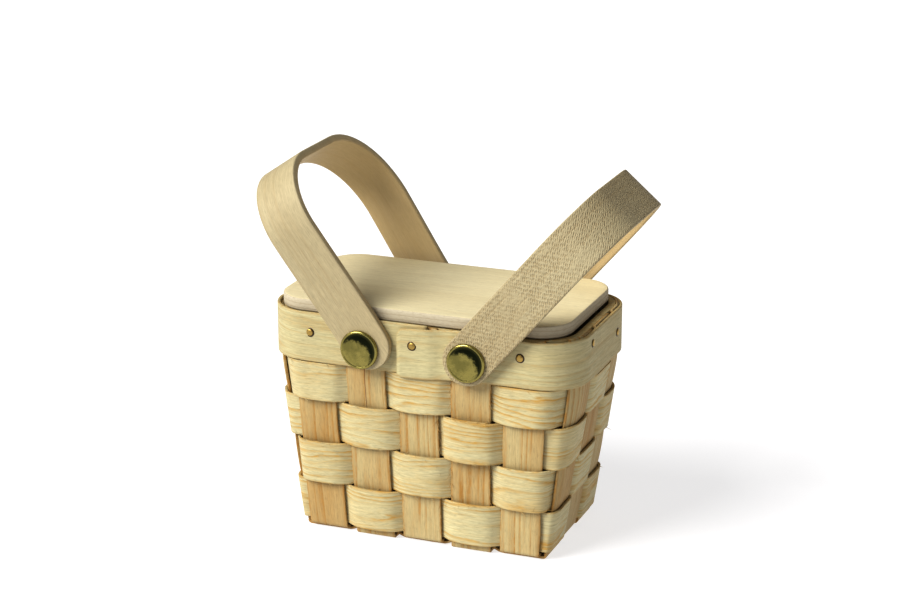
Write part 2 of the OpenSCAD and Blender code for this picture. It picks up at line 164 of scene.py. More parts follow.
class BasketWeave(bpy.types.PropertyGroup):
    """Sizes of the woven walls and floor."""

    rim_w: length("Rim width", "Width of the wall at the rim, at the middle of the stakes", 97)
    rim_d: length("Rim depth", "Depth of the wall at the rim", 52.4)
    rim_r: length("Rim corner", "Corner radius of the wall at the rim", 11.8)
    base_w: length("Floor width", "Width of the wall at the floor", 77.6)
    base_d: length("Floor depth", "Depth of the wall at the floor", 45.2)
    base_r: length("Floor corner", "Corner radius of the wall at the floor", 2.5)
    stake_w: length("Stake width", "Width of the upright splints", 12.6)
    splint_t: length("Splint thickness", "Thickness of every splint", 0.85)
    cross_gap: length("Crossing clearance", "Clearance between two splints where they cross", 0.12)
    front_inset: length("Front inset", "From the outermost front stake to the end wall", 1.2)
    side_inset: length("End inset", "From the outermost end stake to the front wall", 1.6)
    front_fan: length("Front fan", "How much wider apart the front stakes stand at the rim", 1.3)
    side_fan: length("End fan", "How much wider apart the end stakes stand at the rim", 1.6)
    wave: factor("Wave", "Squareness of the weavers' wave on the long walls", 1.2)
    end_wave: factor("End wave", "Squareness of the weavers' wave round the ends", 4.0)
    flat_wave: factor("Top wave", "Squareness of the top weaver's upper edge", 4.0)
    wander: length("Edge wander", "How far a splint's edges stray from straight", 0.22)
    undulation: length("Undulation", "How far a splint's face rises and falls", 0.10)
    stake_bow: length("Stake bow", "How far a stake bows between weavers", 0.11)


class BasketRim(bpy.types.PropertyGroup):
    """Sizes of the two rim bands."""

    band_t: length("Band thickness", "Thickness of the rim bands", 1.0)
    inner_t: length("Inner band thickness", "Thickness of the inner rim band", 2.4)
    rebate: length("Lid rebate", "How far the outer band stands above the inner one", 0.8)
    gap: length("Band gap", "Clearance between the stakes and each band", 0.05)
    lap_left: length("Lap end", "How far the outer end laps past the middle of the front", 5.8)
    lap_right: length("Hidden end", "How far the hidden end runs the other way", 3.4)
    lap_ramp: length("Lap ramp", "Length over which the lapped end rises", 5.5)
    lap_drop: length("Lap drop", "How much lower the lapped end sits", 1.1)


class BasketHandles(bpy.types.PropertyGroup):
    """Sizes of the two bentwood handles."""

    width: length("Strip width", "Width of the handle strip", 15)
    thickness: length("Strip thickness", "Thickness of the handle strip", 2.3)
    left_reach: length("Left reach", "From the rivets to the top of the left handle", 59.6)
    right_reach: length("Right reach", "From the rivets to the top of the right handle", 61.8)
    front_bend: length("Front bend", "Outer radius of the front bend", 19.4)
    back_bend: length("Back bend", "Outer radius of the back bend", 26)
    splay: length("Splay", "How much further out the legs stand at the bends", 2.2)
    gap: length("Leg gap", "Gap between a leg and the outer band", 0.35)
    rivet_x: length("Rivet place", "Distance of a rivet from the middle", 17)
    left_offset: length("Left offset", "Distance of the left rivets from the strip's centre line", 2.4)
    right_offset: length("Right offset", "Distance of the right rivets from the strip's centre line", 0.2)
    left_lean: angle("Left lean", "How far the left handle leans out", 34.4)
    right_lean: angle("Right lean", "How far the right handle leans out", 40.6)


class BasketLid(bpy.types.PropertyGroup):
    """Sizes of the lid's two boards."""

    corner: length("Lid corner", "Corner radius of the lid board", 10)
    locator_corner: length("Locator corner", "Corner radius of the locating board", 8.425)
    ease: length("Eased edge", "Rounding of the boards' edges", 0.55)


class BasketBrass(bpy.types.PropertyGroup):
    """Sizes of the rivets and nails."""

    cap_d: length("Cap diameter", "Diameter of a rivet's cap", 12)
    cap_t: length("Cap thickness", "Thickness of a rivet's cap at its edge", 1.1)
    cap_dome: length("Cap dome", "Height of the dome on a rivet's cap", 0.5)
    nail_head: length("Nail head", "Diameter of a nail's head", 2.4)
    nail_drop: length("Nail drop", "From a nail up to the outer band's top edge", 6.3)
    front_pitch: length("Front nails", "Distance between neighbouring nails on the long walls", 33.6)
    front_shift: length("Nail shift", "How far those nails lie to the left of the middle", 0.9)
    end_span: length("End nails", "Distance between the two nails in each end", 24)
    end_stagger: length("Nail stagger", "How much higher one end nail is than the other", 4)


class BasketFinish(bpy.types.PropertyGroup):
    """Colours of the wood and the brass."""

    weaver_pale: colour("Weaver early wood", "Pale wood of the weavers", (0.55, 0.5, 0.305))
    weaver_line: colour("Weaver late wood", "Lines in the weavers", (0.47, 0.285, 0.07))
    stake_pale: colour("Stake early wood", "Pale wood of the stakes", (0.495, 0.405, 0.215))
    stake_line: colour("Stake late wood", "Lines in the stakes", (0.38, 0.205, 0.05))
    band_pale: colour("Band early wood", "Pale wood of the rim bands", (0.5, 0.455, 0.27))
    band_line: colour("Band late wood", "Lines in the rim bands", (0.42, 0.3, 0.125))
    handle_pale: colour("Handle wood", "Pale wood of the handles", (0.46, 0.4, 0.255))
    handle_line: colour("Handle grain", "Lines and flecks in the handles", (0.33, 0.245, 0.125))
    lid_pale: colour("Lid face", "Face veneer of the lid", (0.74, 0.67, 0.455))
    lid_line: colour("Lid grain", "Lines in the lid's face", (0.6, 0.51, 0.31))
    ply_pale: colour("Ply edge", "Pale layers in the lid's edge", (0.5, 0.45, 0.34))
    ply_line: colour("Ply glue", "Darker layers in the lid's edge", (0.32, 0.255, 0.17))
    brass: colour("Brass", "Clean brass", (0.33, 0.285, 0.095))
    nail: colour("Nail", "Small brass nails", (0.48, 0.33, 0.11))
    # painted dark reflection, not tarnish: the ragged crescent on each cap's upper right stands in for dark
    # surroundings mirrored in the dome
    shadow: colour("Crescent", "Darkest tarnish on a cap", (0.016, 0.019, 0.008))
    tarnish: colour("Tarnish", "Tarnished brass", (0.17, 0.155, 0.05))


class BasketStudio(bpy.types.PropertyGroup):
    """The camera, the lights and the floor."""

    azimuth: angle("Azimuth", "How far round to the right the camera stands", 21.44)
    elevation: angle("Elevation", "How far the camera looks down", 17.49)
    roll: angle("Roll", "Turn of the camera about its view", -0.05)
    distance: length("Distance", "From the camera to the middle of the rim", 722)
    target: length("Aim height", "Height that the camera looks at", 71.3)
    sensor: factor("Sensor", "Width of the camera's sensor in millimetres", 36.0)
    contrast: factor("Contrast", "Gamma of the finished picture, where less gives more contrast", 0.8)
    lens: factor("Lens", "Focal length in millimetres", 94.47)
    key: factor("Key light", "Strength of the key light in watts per square metre", 4.8)
    soft: angle("Softness", "Width of the key light as the basket sees it", 36)
    sky: factor("Sky", "Strength of the even light from all round", 0.28)
    glow: factor("Floor glow", "Strength of the light from under the floor", 0.74)
    floor: colour("Floor", "Colour of the floor", (0.35, 0.35, 0.36))


def sizes(group):
    return getattr(bpy.context.scene, "basket_" + group)


# Small helpers for node trees


def feed(tree, socket, value):
    if isinstance(value, bpy.types.NodeSocket):
        tree.links.new(value, socket)
    else:
        socket.default_value = value


def put(tree, kind, *values, named=None, **settings):
    node = tree.nodes.new(kind)
    for key, value in settings.items():
        setattr(node, key, value)
    for socket, value in zip(node.inputs, values):
        if value is not None:
            feed(tree, socket, value)
    for key, value in (named or {}).items():
        feed(tree, node.inputs[key], value)
    return node


def calc(tree, operation, a, b=None, clamp=False):
    return put(tree, "ShaderNodeMath", a, b, operation=operation, use_clamp=clamp).outputs[0]


def vectors(tree, operation, a, b):
    return put(tree, "ShaderNodeVectorMath", a, b, operation=operation).outputs[0]


def scaled(tree, vector, by):
    """A vector times one number."""
    return put(tree, "ShaderNodeVectorMath", vector, operation="SCALE", named={"Scale": by}).outputs[0]


def stretch(tree, vector, by):
    return vectors(tree, "MULTIPLY", vector, by)


def any_vector(tree, low, high, seed):
    """A random vector for each point."""
    return put(
        tree, "FunctionNodeRandomValue", low, high, data_type="FLOAT_VECTOR", named={"Seed": seed}
    ).outputs[0]


def facing(tree, vector):
    """The rotation that turns +Z to the vector."""
    return put(tree, "FunctionNodeAlignRotationToVector", axis="Z", named={"Vector": vector}).outputs[0]


def spread(tree, value, low, high, to_low=0.0, to_high=1.0):
    return put(
        tree, "ShaderNodeMapRange", value, low, high, to_low, to_high, interpolation_type="SMOOTHSTEP"
    ).outputs[0]


def mixed(tree, share, a, b, blend_type="MIX"):
    node = tree.nodes.new("ShaderNodeMix")
    node.data_type = "RGBA"
    node.blend_type = blend_type
    feed(tree, node.inputs[0], share)
    feed(tree, node.inputs[6], a)
    feed(tree, node.inputs[7], b)
    return node.outputs[2]


def cloud(tree, vector, scales, detail=2.0, roughness=0.5):
    """Noise with a scale of its own along each axis."""
    return put(
        tree, "ShaderNodeTexNoise", stretch(tree, vector, scales), None, 1.0, detail, roughness
    ).outputs[0]


def tooth(tree, value, stops):
    """A grey ramp through [place, grey] stops."""
    node = put(tree, "ShaderNodeValToRGB", value)
    ramp = node.color_ramp
    ramp.elements[0].position, ramp.elements[1].position = stops[0][0], stops[-1][0]
    ramp.elements[0].color = (*[stops[0][1]] * 3, 1)
    ramp.elements[1].color = (*[stops[-1][1]] * 3, 1)
    for place, grey in stops[1:-1]:
        ramp.elements.new(place).color = (*[grey] * 3, 1)
    return node.outputs[0]


def grain_parts(tree):
    """The strip's own coordinates, then the place along it and the place across it."""
    node = put(tree, "ShaderNodeAttribute", attribute_name="grain")
    parts = put(tree, "ShaderNodeSeparateXYZ", node.outputs["Vector"])
    return node.outputs["Vector"], parts.outputs[0], parts.outputs[1]


def number(tree, name):
    return put(tree, "ShaderNodeAttribute", attribute_name=name).outputs["Fac"]


# Finishes


def blank(name):
    """A new material, with its tree and its shader."""
    material = bpy.data.materials.new(name)
    material.use_nodes = True
    return material, material.node_tree, material.node_tree.nodes["Principled BSDF"]


def wood(name, pale, line, pitch, rings, run, spacing, strength, fibre, rough=0.62, bump=0.25, edge=0.35,
         drift=0.3, extra=None):
    """Sliced wood: contour lines of a field stretched along the grain, with fine fibres over them.

    pitch is lines in a metre across the grain, rings the figure's depth, run and spacing the figure's scale
    along and across the grain, strength the lines' depth of colour, fibre the contrast of the fine fibres,
    edge the darkening of torn edges, and drift how far the pale wood wanders to the line's colour.
    """
    material, tree, shader = blank(name)
    grain, along, across = grain_parts(tree)
    field = cloud(tree, grain, (run, spacing, 7.31), 1.0, 0.35)
    sway = cloud(tree, grain, (run * 6, spacing * 4, 3.7), 2.0, 0.5)
    ring = calc(tree, "ADD", calc(tree, "MULTIPLY", field, rings), calc(tree, "MULTIPLY", sway, 0.9))
    ring = calc(tree, "ADD", ring, calc(tree, "MULTIPLY", across, pitch))
    late = tooth(
        tree, calc(tree, "FRACT", ring),
        [(0.0, 0.0), (0.3, 0.05), (0.62, 0.45), (0.84, 1.0), (0.93, 0.35), (1.0, 0.0)],
    )
    patch = spread(tree, cloud(tree, grain, (30, 190, 11.3), 2.0, 0.6), 0.38, 0.6, 0.12, 1.0)
    thin = tooth(
        tree, calc(tree, "FRACT", calc(tree, "MULTIPLY", ring, 2.7)),
        [(0.0, 0.0), (0.5, 0.1), (0.8, 0.5), (1.0, 0.0)],
    )
    late = calc(
        tree, "ADD", calc(tree, "MULTIPLY", late, patch), calc(tree, "MULTIPLY", thin, 0.28), clamp=True
    )
    hair = cloud(tree, grain, (160, 4200, 5.9), 3.0, 0.6)
    fleck = cloud(tree, grain, (520, 2600, 2.3), 2.0, 0.55)
    tone = cloud(tree, grain, (14, 60, 19.7), 1.0, 0.5)
    grit = cloud(tree, grain, (420, 1500, 8.7), 3.0, 0.65)
    share = calc(
        tree, "MULTIPLY", calc(tree, "MULTIPLY", late, strength), spread(tree, grit, 0.3, 0.6, 0.45, 1.0)
    )
    paint = mixed(tree, share, pale, line)
    paint = mixed(tree, spread(tree, tone, 0.35, 0.68, 0.0, drift), paint, line)
    rim = number(tree, "rim")
    torn = calc(tree, "MULTIPLY", spread(tree, rim, 0.86, 1.0), spread(tree, fleck, 0.38, 0.6, 0.3, 1.0))
    paint = mixed(tree, calc(tree, "MULTIPLY", torn, edge), paint, line)
    shade = calc(tree, "ADD", spread(tree, hair, 0.25, 0.75, 1 - fibre, 1 + fibre * 0.6),
                 spread(tree, fleck, 0.25, 0.5, -fibre * 0.9, 0.0))
    shade = calc(tree, "ADD", shade, spread(tree, grit, 0.3, 0.7, -fibre * 0.5, fibre * 0.3))
    grey = put(tree, "ShaderNodeCombineColor", shade, shade, shade).outputs[0]
    paint = mixed(tree, 1.0, paint, grey, "MULTIPLY")
    height = calc(tree, "ADD", calc(tree, "MULTIPLY", hair, 0.55), calc(tree, "MULTIPLY", late, -0.35))
    if extra:
        paint, height = extra(tree, grain, along, across, paint, height)
    feed(tree, shader.inputs["Base Color"], paint)
    feed(tree, shader.inputs["Roughness"], spread(tree, hair, 0.2, 0.8, rough + 0.1, rough - 0.08))
    shader.inputs["Specular IOR Level"].default_value = 0.32
    relief = put(tree, "ShaderNodeBump", named={"Strength": bump, "Distance": 0.00025, "Height": height})
    feed(tree, shader.inputs["Normal"], relief.outputs[0])
    return material


def split_line(tree, grain, along, across, paint, height):
    """A split that runs along the grain where the piece's split attribute is set: a shallow groove in the
    bump, and a dark line of painted shade for the inside of the open crack.
    """
    wobble = calc(tree, "MULTIPLY", cloud(tree, grain, (120, 0, 1), 2.0), 0.5 * MM)
    away = calc(tree, "ABSOLUTE", calc(tree, "ADD", across, wobble))
    crack = calc(tree, "MULTIPLY", spread(tree, away, 0.13 * MM, 0.05 * MM), number(tree, "split"))
    return mixed(tree, crack, paint, SPLIT_SHADE_COLOUR), calc(tree, "SUBTRACT", height, crack)


def pressed_scales(tree, grain, along, across, paint, height):
    """Rows of short pressed marks, as a rough-sawn bending strip has."""
    lean = put(tree, "ShaderNodeVectorRotate", grain, None, None, 0.62, rotation_type="Z_AXIS").outputs[0]
    stray = put(tree, "ShaderNodeTexNoise", stretch(tree, grain, (700, 700, 1)), None, 1.0, 2.0).outputs[1]
    spot = vectors(tree, "ADD", stretch(tree, lean, (800, 1700, 0)), stretch(tree, stray, (0.5, 0.5, 0)))
    cell = put(tree, "ShaderNodeTexVoronoi", spot, None, 1.0, feature="F1", named={"Randomness": 0.4})
    mark = spread(tree, cell.outputs[0], 0.2, 0.55, 1.0, 0.0)
    patch = spread(tree, cloud(tree, grain, (70, 110, 1), 3.0), 0.3, 0.52, 0.4, 1.0)
    mark = calc(tree, "MULTIPLY", mark, patch)
    mark = calc(tree, "MULTIPLY", mark, calc(tree, "SUBTRACT", 1.0, number(tree, "inner")))
    paint = mixed(tree, calc(tree, "MULTIPLY", mark, 0.5), paint, tuple(sizes("finish").handle_line))
    return paint, calc(tree, "SUBTRACT", height, calc(tree, "MULTIPLY", mark, 1.8))


def inner_face(tree, grain, along, across, paint, height):
    """Warms the colour where the piece's inner attribute is set."""
    warm = calc(tree, "MULTIPLY", number(tree, "inner"), 0.45)
    return mixed(tree, warm, paint, WARM_COLOUR), height


def scaled_and_warm(tree, grain, along, across, paint, height):
    paint, height = pressed_scales(tree, grain, along, across, paint, height)
    return inner_face(tree, grain, along, across, paint, height)


def ply_edge(name):
    """The lid's edge: pale layers with darker ones between them, each with its own end grain."""
    material, tree, shader = blank(name)
    colours = sizes("finish")
    place = put(tree, "ShaderNodeTexCoord").outputs["Object"]
    high = put(tree, "ShaderNodeSeparateXYZ", place).outputs[2]
    ragged = calc(tree, "MULTIPLY", cloud(tree, place, (180, 180, 60)), 0.35 * MM)
    layer = calc(
        tree, "DIVIDE", calc(tree, "SUBTRACT", calc(tree, "ADD", high, ragged), LID_LOW.z),
        LID_HIGH.z - LID_LOW.z,
    )
    bands = tooth(
        tree, layer,
        [
            (0.0, 0.35), (0.22, 0.1), (0.3, 0.55), (0.34, 0.1), (0.6, 0.05), (0.66, 0.6), (0.71, 0.1),
            (1.0, 0.0),
        ],
    )
    end = cloud(tree, place, (900, 900, 2600), 3.0, 0.6)
    paint = mixed(tree, bands, tuple(colours.ply_pale), tuple(colours.ply_line))
    paint = mixed(tree, spread(tree, end, 0.42, 0.75, 0.0, 0.4), paint, tuple(colours.ply_line))
    feed(tree, shader.inputs["Base Color"], paint)
    feed(tree, shader.inputs["Roughness"], spread(tree, end, 0.2, 0.8, 0.82, 0.66))
    shader.inputs["Specular IOR Level"].default_value = 0.25
    relief = put(tree, "ShaderNodeBump", named={"Strength": 0.35, "Distance": 0.0002, "Height": end})
    feed(tree, shader.inputs["Normal"], relief.outputs[0])
    return material


def crescent(tree, place):
    """Share of painted dark reflection: a ragged crescent on the upper right of each front and back cap,
    where the domed cap would mirror dark surroundings.
    """
    parts = put(tree, "ShaderNodeSeparateXYZ", place)
    side = calc(tree, "MULTIPLY", calc(tree, "SIGN", parts.outputs[0]), sizes("handles").rivet_x)
    right = calc(tree, "ADD", calc(tree, "SUBTRACT", parts.outputs[0], side), 1.5 * MM)
    up = calc(tree, "ADD", calc(tree, "SUBTRACT", parts.outputs[2], PIVOT_Z), 2.3 * MM)
    away = calc(
        tree, "SQRT", calc(tree, "ADD", calc(tree, "MULTIPLY", right, right), calc(tree, "MULTIPLY", up, up))
    )
    ragged = cloud(tree, place, (900, 900, 900), 4.0, 0.7)
    away = calc(tree, "ADD", away, calc(tree, "MULTIPLY", calc(tree, "SUBTRACT", ragged, 0.5), 3.2 * MM))
    return spread(tree, away, 4.7 * MM, 5.9 * MM)


def brass(name, clean, tarnished, rough, dark):
    """Polished brass with a soft bloom of tarnish, fine handling scratches, and a painted dark reflection on
    the caps.
    """
    material, tree, shader = blank(name)
    colours = sizes("finish")
    place = put(tree, "ShaderNodeTexCoord").outputs["Object"]
    bloom = spread(tree, cloud(tree, place, (260, 260, 260), 4.0, 0.6), 0.36, 0.62)
    specks = spread(tree, cloud(tree, place, (1500, 1500, 1500), 2.0, 0.6), 0.55, 0.7)
    rubbed = calc(tree, "SUBTRACT", 1.0, number(tree, "worn"))
    share = calc(tree, "MULTIPLY", calc(tree, "MULTIPLY", bloom, tarnished), rubbed)
    paint = mixed(tree, share, clean, tuple(colours.tarnish))
    paint = mixed(tree, calc(tree, "MULTIPLY", specks, 0.35), paint, tuple(colours.tarnish))
    # painted dark reflection: the crescent darkens each cap's upper right, where the dome would mirror dark
    # surroundings
    dark_reflection_share = calc(tree, "MULTIPLY", calc(tree, "MULTIPLY", crescent(tree, place), dark), rubbed)
    paint = mixed(tree, dark_reflection_share, paint, tuple(colours.shadow))
    # painted shade round the nails: the skirt under each head turns near-black and loses its metal
    paint = mixed(tree, number(tree, "pit"), paint, HOLE_SHADE_COLOUR)
    feed(tree, shader.inputs["Base Color"], paint)
    feed(tree, shader.inputs["Metallic"], calc(tree, "SUBTRACT", 1.0, number(tree, "pit")))
    scratch = cloud(tree, place, (300, 2600, 5200), 2.0, 0.5)
    feed(
        tree, shader.inputs["Roughness"],
        calc(
            tree, "ADD", spread(tree, scratch, 0.3, 0.7, rough, rough + 0.08),
            calc(tree, "MULTIPLY", bloom, 0.10),
        ),
    )
    relief = put(tree, "ShaderNodeBump", named={"Strength": 0.06, "Distance": 0.0001, "Height": scratch})
    feed(tree, shader.inputs["Normal"], relief.outputs[0])
    return material


WOODS = {
    "weaver_splint": dict(
        tone="weaver", pitch=420.0, rings=8.0, run=18.0, spacing=120.0, strength=1.0, fibre=0.16, bump=0.32,
        edge=0.6, drift=0.2,
    ),
    "stake_splint": dict(
        tone="stake", pitch=430.0, rings=5.0, run=6.0, spacing=140.0, strength=1.0, fibre=0.13, edge=0.85,
        drift=0.5, extra=split_line,
    ),
    "rim_band": dict(
        tone="band", pitch=300.0, rings=6.0, run=9.0, spacing=110.0, strength=0.6, fibre=0.14, bump=0.3,
        edge=0.85,
    ),
    "handle_smooth": dict(
        tone="handle", pitch=300.0, rings=4.0, run=5.0, spacing=120.0, strength=0.35, fibre=0.12, rough=0.55,
        bump=0.2, edge=0.12, extra=inner_face,
    ),
    "handle_rough": dict(
        tone="handle", pitch=300.0, rings=4.0, run=5.0, spacing=120.0, strength=0.35, fibre=0.12, bump=0.5,
        edge=0.12, extra=scaled_and_warm,
    ),
    "lid_face": dict(
        tone="lid", pitch=130.0, rings=4.0, run=5.0, spacing=42.0, strength=0.32, fibre=0.08, rough=0.55,
        bump=0.15,
    ),
}
BRASSES = {
    # dark sets the share of the painted dark reflection crescent, which only the caps have
    "brass_cap": dict(clean="brass", tarnished=0.7, rough=0.2, dark=1.0),
    "brass_nail": dict(clean="nail", tarnished=0.3, rough=0.28, dark=0.0),
}


def finish(name):
    """The finish of that name, made the first time it is asked for."""
    if name in bpy.data.materials:
        return bpy.data.materials[name]
    colours = sizes("finish")
    if name in WOODS:
        recipe = dict(WOODS[name])
        tone = recipe.pop("tone")
        pale, line = (tuple(getattr(colours, tone + end)) for end in ("_pale", "_line"))
        return wood(name, pale, line, **recipe)
    if name in BRASSES:
        recipe = dict(BRASSES[name])
        return brass(name, tuple(getattr(colours, recipe.pop("clean"))), **recipe)
    return ply_edge(name)


# Small helpers for meshes


def make_mesh(name, points, faces, attributes=(), materials=(), slots=None, smooth=True):
    mesh = bpy.data.meshes.new(name)
    mesh.from_pydata([tuple(p) for p in points], [], faces)
    for title, kind, values in attributes:
        store = mesh.attributes.new(title, kind, "POINT")
        key = "vector" if kind == "FLOAT_VECTOR" else "value"
        flat = [x for v in values for x in v] if kind == "FLOAT_VECTOR" else list(values)
        store.data.foreach_set(key, flat)
    for material in materials:
        mesh.materials.append(material)
    if slots:
        mesh.polygons.foreach_set("material_index", slots)
    if smooth:
        mesh.polygons.foreach_set("use_smooth", [True] * len(mesh.polygons))
    mesh.update()
    item = bpy.data.objects.new(name, mesh)
    bpy.context.scene.collection.objects.link(item)
    return item


def tube(count, n):
    """Faces that join count rings of n points each, with a cap at each end."""
    faces = []
    for i in range(count - 1):
        a, b = i * n, (i + 1) * n
        faces += [(a + j, b + j, b + (j + 1) % n, a + (j + 1) % n) for j in range(n)]
    faces.append(tuple(range(n)))
    faces.append(tuple(reversed(range((count - 1) * n, count * n))))
    return faces


def strip_section(width, thick, ease):
    """Closed outline of a strip: [place across, place through], outer face first."""
    half, h = width / 2, thick / 2
    first = -half + ease + NARROW_LANE
    between = width - 2 * ease - 2 * NARROW_LANE
    cut = ease * ROUND_CUT
    flat = [-half + ease, first]
    flat += [first + between * k / ACROSS for k in range(1, ACROSS)]
    flat += [half - ease - NARROW_LANE, half - ease]
    side = [(half - cut, h - cut), (half, h - ease), (half, -h + ease), (half - cut, -h + cut)]
    outline = [(v, h) for v in flat] + side + [(v, -h) for v in reversed(flat)]
    return outline + [(-v, -o) for v, o in side]


def strip(name, stations, thick, ease, materials, piece, extra=()):
    """A strip through stations of {at(v), out(v), along, width, ...}; each keeps its own named numbers."""
    points, grain, rim, more, outs = [], [], [], {key: [] for key in extra}, []
    for station in stations:
        outline = strip_section(station["width"], thick, ease)
        shift = station.get("shift", 0.0)
        for v, o in outline:
            out = station["out"](v + shift)
            points.append(station["at"](v + shift) + out * o)
            outs.append(out)
            grain.append((station["along"], v + shift, piece))
            rim.append(min(1.0, abs(v) / (station["width"] / 2)))
            for key in extra:
                value = station[key]
                more[key].append(value(v, o) if callable(value) else value)
    faces = [tuple(reversed(f)) for f in tube(len(stations), len(points) // len(stations))]
    attributes = [("grain", "FLOAT_VECTOR", grain), ("rim", "FLOAT", rim), ("out", "FLOAT_VECTOR", outs)]
    attributes += [(key, "FLOAT", more[key]) for key in extra]
    return make_mesh(name, points, faces, attributes, materials)


def fix_normals(item):
    """Turns every face outwards."""
    work = bmesh.new()
    work.from_mesh(item.data)
    bmesh.ops.recalc_face_normals(work, faces=work.faces)
    work.to_mesh(item.data)
    work.free()


def settle(item, body, replaced, slot):
    """Applies the piece's modifiers to its mesh and puts it in the place of its CAD nodes."""
    bpy.context.view_layer.update()
    graph = bpy.context.evaluated_depsgraph_get()
    mesh = bpy.data.meshes.new_from_object(
        item.evaluated_get(graph), preserve_all_data_layers=True, depsgraph=graph
    )
    item.modifiers.clear()
    item.data = mesh
    mesh.name = item.name
    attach(item, body)
    if replaced:
        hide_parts(*replaced)
    return item


def apply_tree(item, tree, values):
    """Adds a Geometry Nodes modifier, with its inputs set by their identifiers."""
    modifier = item.modifiers.new(tree.name, "NODES")
    modifier.node_group = tree
    for socket in tree.interface.items_tree:
        if socket.in_out == "INPUT" and socket.name in values:
            modifier[socket.identifier] = values[socket.name]
    return modifier


def new_tree(name, inputs):
    """An empty Geometry Nodes tree with a geometry in, a geometry out and the named inputs."""
    tree = bpy.data.node_groups.new(name, "GeometryNodeTree")
    tree.interface.new_socket(name="Geometry", in_out="INPUT", socket_type="NodeSocketGeometry")
    tree.interface.new_socket(name="Geometry", in_out="OUTPUT", socket_type="NodeSocketGeometry")
    for title, kind in inputs:
        tree.interface.new_socket(name=title, in_out="INPUT", socket_type="NodeSocket" + kind)
    return tree, tree.nodes.new("NodeGroupInput"), tree.nodes.new("NodeGroupOutput")


def finish_tree(tree, geometry, material, sink):
    real = put(tree, "GeometryNodeRealizeInstances", geometry)
    smooth = put(tree, "GeometryNodeSetShadeSmooth", real.outputs[0])
    painted = put(tree, "GeometryNodeSetMaterial", smooth.outputs[0], named={"Material": material})
    tree.links.new(painted.outputs[0], sink.inputs[0])


def read_number(tree, name, kind="FLOAT"):
    node = put(tree, "GeometryNodeInputNamedAttribute", name, data_type=kind)
    return node.outputs["Attribute"]


def weave_tree():
    """Moves a splint in and out, so that it passes each neighbour on the other side from the last."""
    if "Splint weave" in bpy.data.node_groups:
        return bpy.data.node_groups["Splint weave"]
    tree, source, sink = new_tree(
        "Splint weave",
        [("Crossing height", "Float"), ("Undulation", "Float"), ("Seed", "Float"), ("Finish", "Material")],
    )
    phase, square = read_number(tree, "phase"), read_number(tree, "square")
    swing = calc(
        tree, "TANH",
        calc(tree, "MULTIPLY", square, calc(tree, "COSINE", calc(tree, "MULTIPLY", phase, math.pi))),
    )
    at_edge = calc(tree, "TANH", calc(tree, "MULTIPLY", square, math.cos(math.pi * EDGE_PHASE)))
    wave = calc(tree, "MULTIPLY", calc(tree, "DIVIDE", swing, at_edge), source.outputs["Crossing height"])
    wave = calc(
        tree, "ADD", calc(tree, "MULTIPLY", wave, read_number(tree, "gain")), read_number(tree, "lift")
    )
    spot = put(
        tree, "ShaderNodeTexNoise", read_number(tree, "grain", "FLOAT_VECTOR"), source.outputs["Seed"], 130.0,
        1.0, noise_dimensions="4D",
    )
    ripple = calc(
        tree, "MULTIPLY", calc(tree, "SUBTRACT", spot.outputs[0], 0.5), source.outputs["Undulation"]
    )
    ripple = calc(tree, "MULTIPLY", ripple, read_number(tree, "gain"))
    move = scaled(tree, read_number(tree, "out", "FLOAT_VECTOR"), calc(tree, "ADD", wave, ripple))
    placed = put(tree, "GeometryNodeSetPosition", source.outputs["Geometry"], named={"Offset": move})
    finish_tree(tree, placed.outputs[0], source.outputs["Finish"], sink)
    return tree


def fastener_tree():
    """Sets one fastener on each point, its axis along the point's outward direction."""
    if "Fasteners" in bpy.data.node_groups:
        return bpy.data.node_groups["Fasteners"]
    tree, source, sink = new_tree(
        "Fasteners",
        [
            ("Fastener", "Object"), ("Turn", "Float"), ("Tilt", "Float"), ("Seed", "Int"),
            ("Finish", "Material"),
        ],
    )
    item = put(tree, "GeometryNodeObjectInfo", source.outputs["Fastener"])
    lean = any_vector(tree, (-1, -1, -1), (1, 1, 1), source.outputs["Seed"])
    lean = scaled(tree, lean, source.outputs["Tilt"])
    turned = facing(tree, vectors(tree, "ADD", read_number(tree, "out", "FLOAT_VECTOR"), lean))
    spin = put(
        tree, "FunctionNodeRandomValue", None, None, 0.0, source.outputs["Turn"], data_type="FLOAT",
        named={"Seed": source.outputs["Seed"]},
    )
    spun = put(tree, "FunctionNodeAxisAngleToRotation", (0, 0, 1), spin.outputs[1])
    both = put(tree, "FunctionNodeRotateRotation", turned, spun.outputs[0], rotation_space="LOCAL")
    placed = put(tree, "GeometryNodeInstanceOnPoints", source.outputs["Geometry"],
                 named={"Instance": item.outputs["Geometry"], "Rotation": both.outputs[0]})
    finish_tree(tree, placed.outputs[0], source.outputs["Finish"], sink)
    return tree


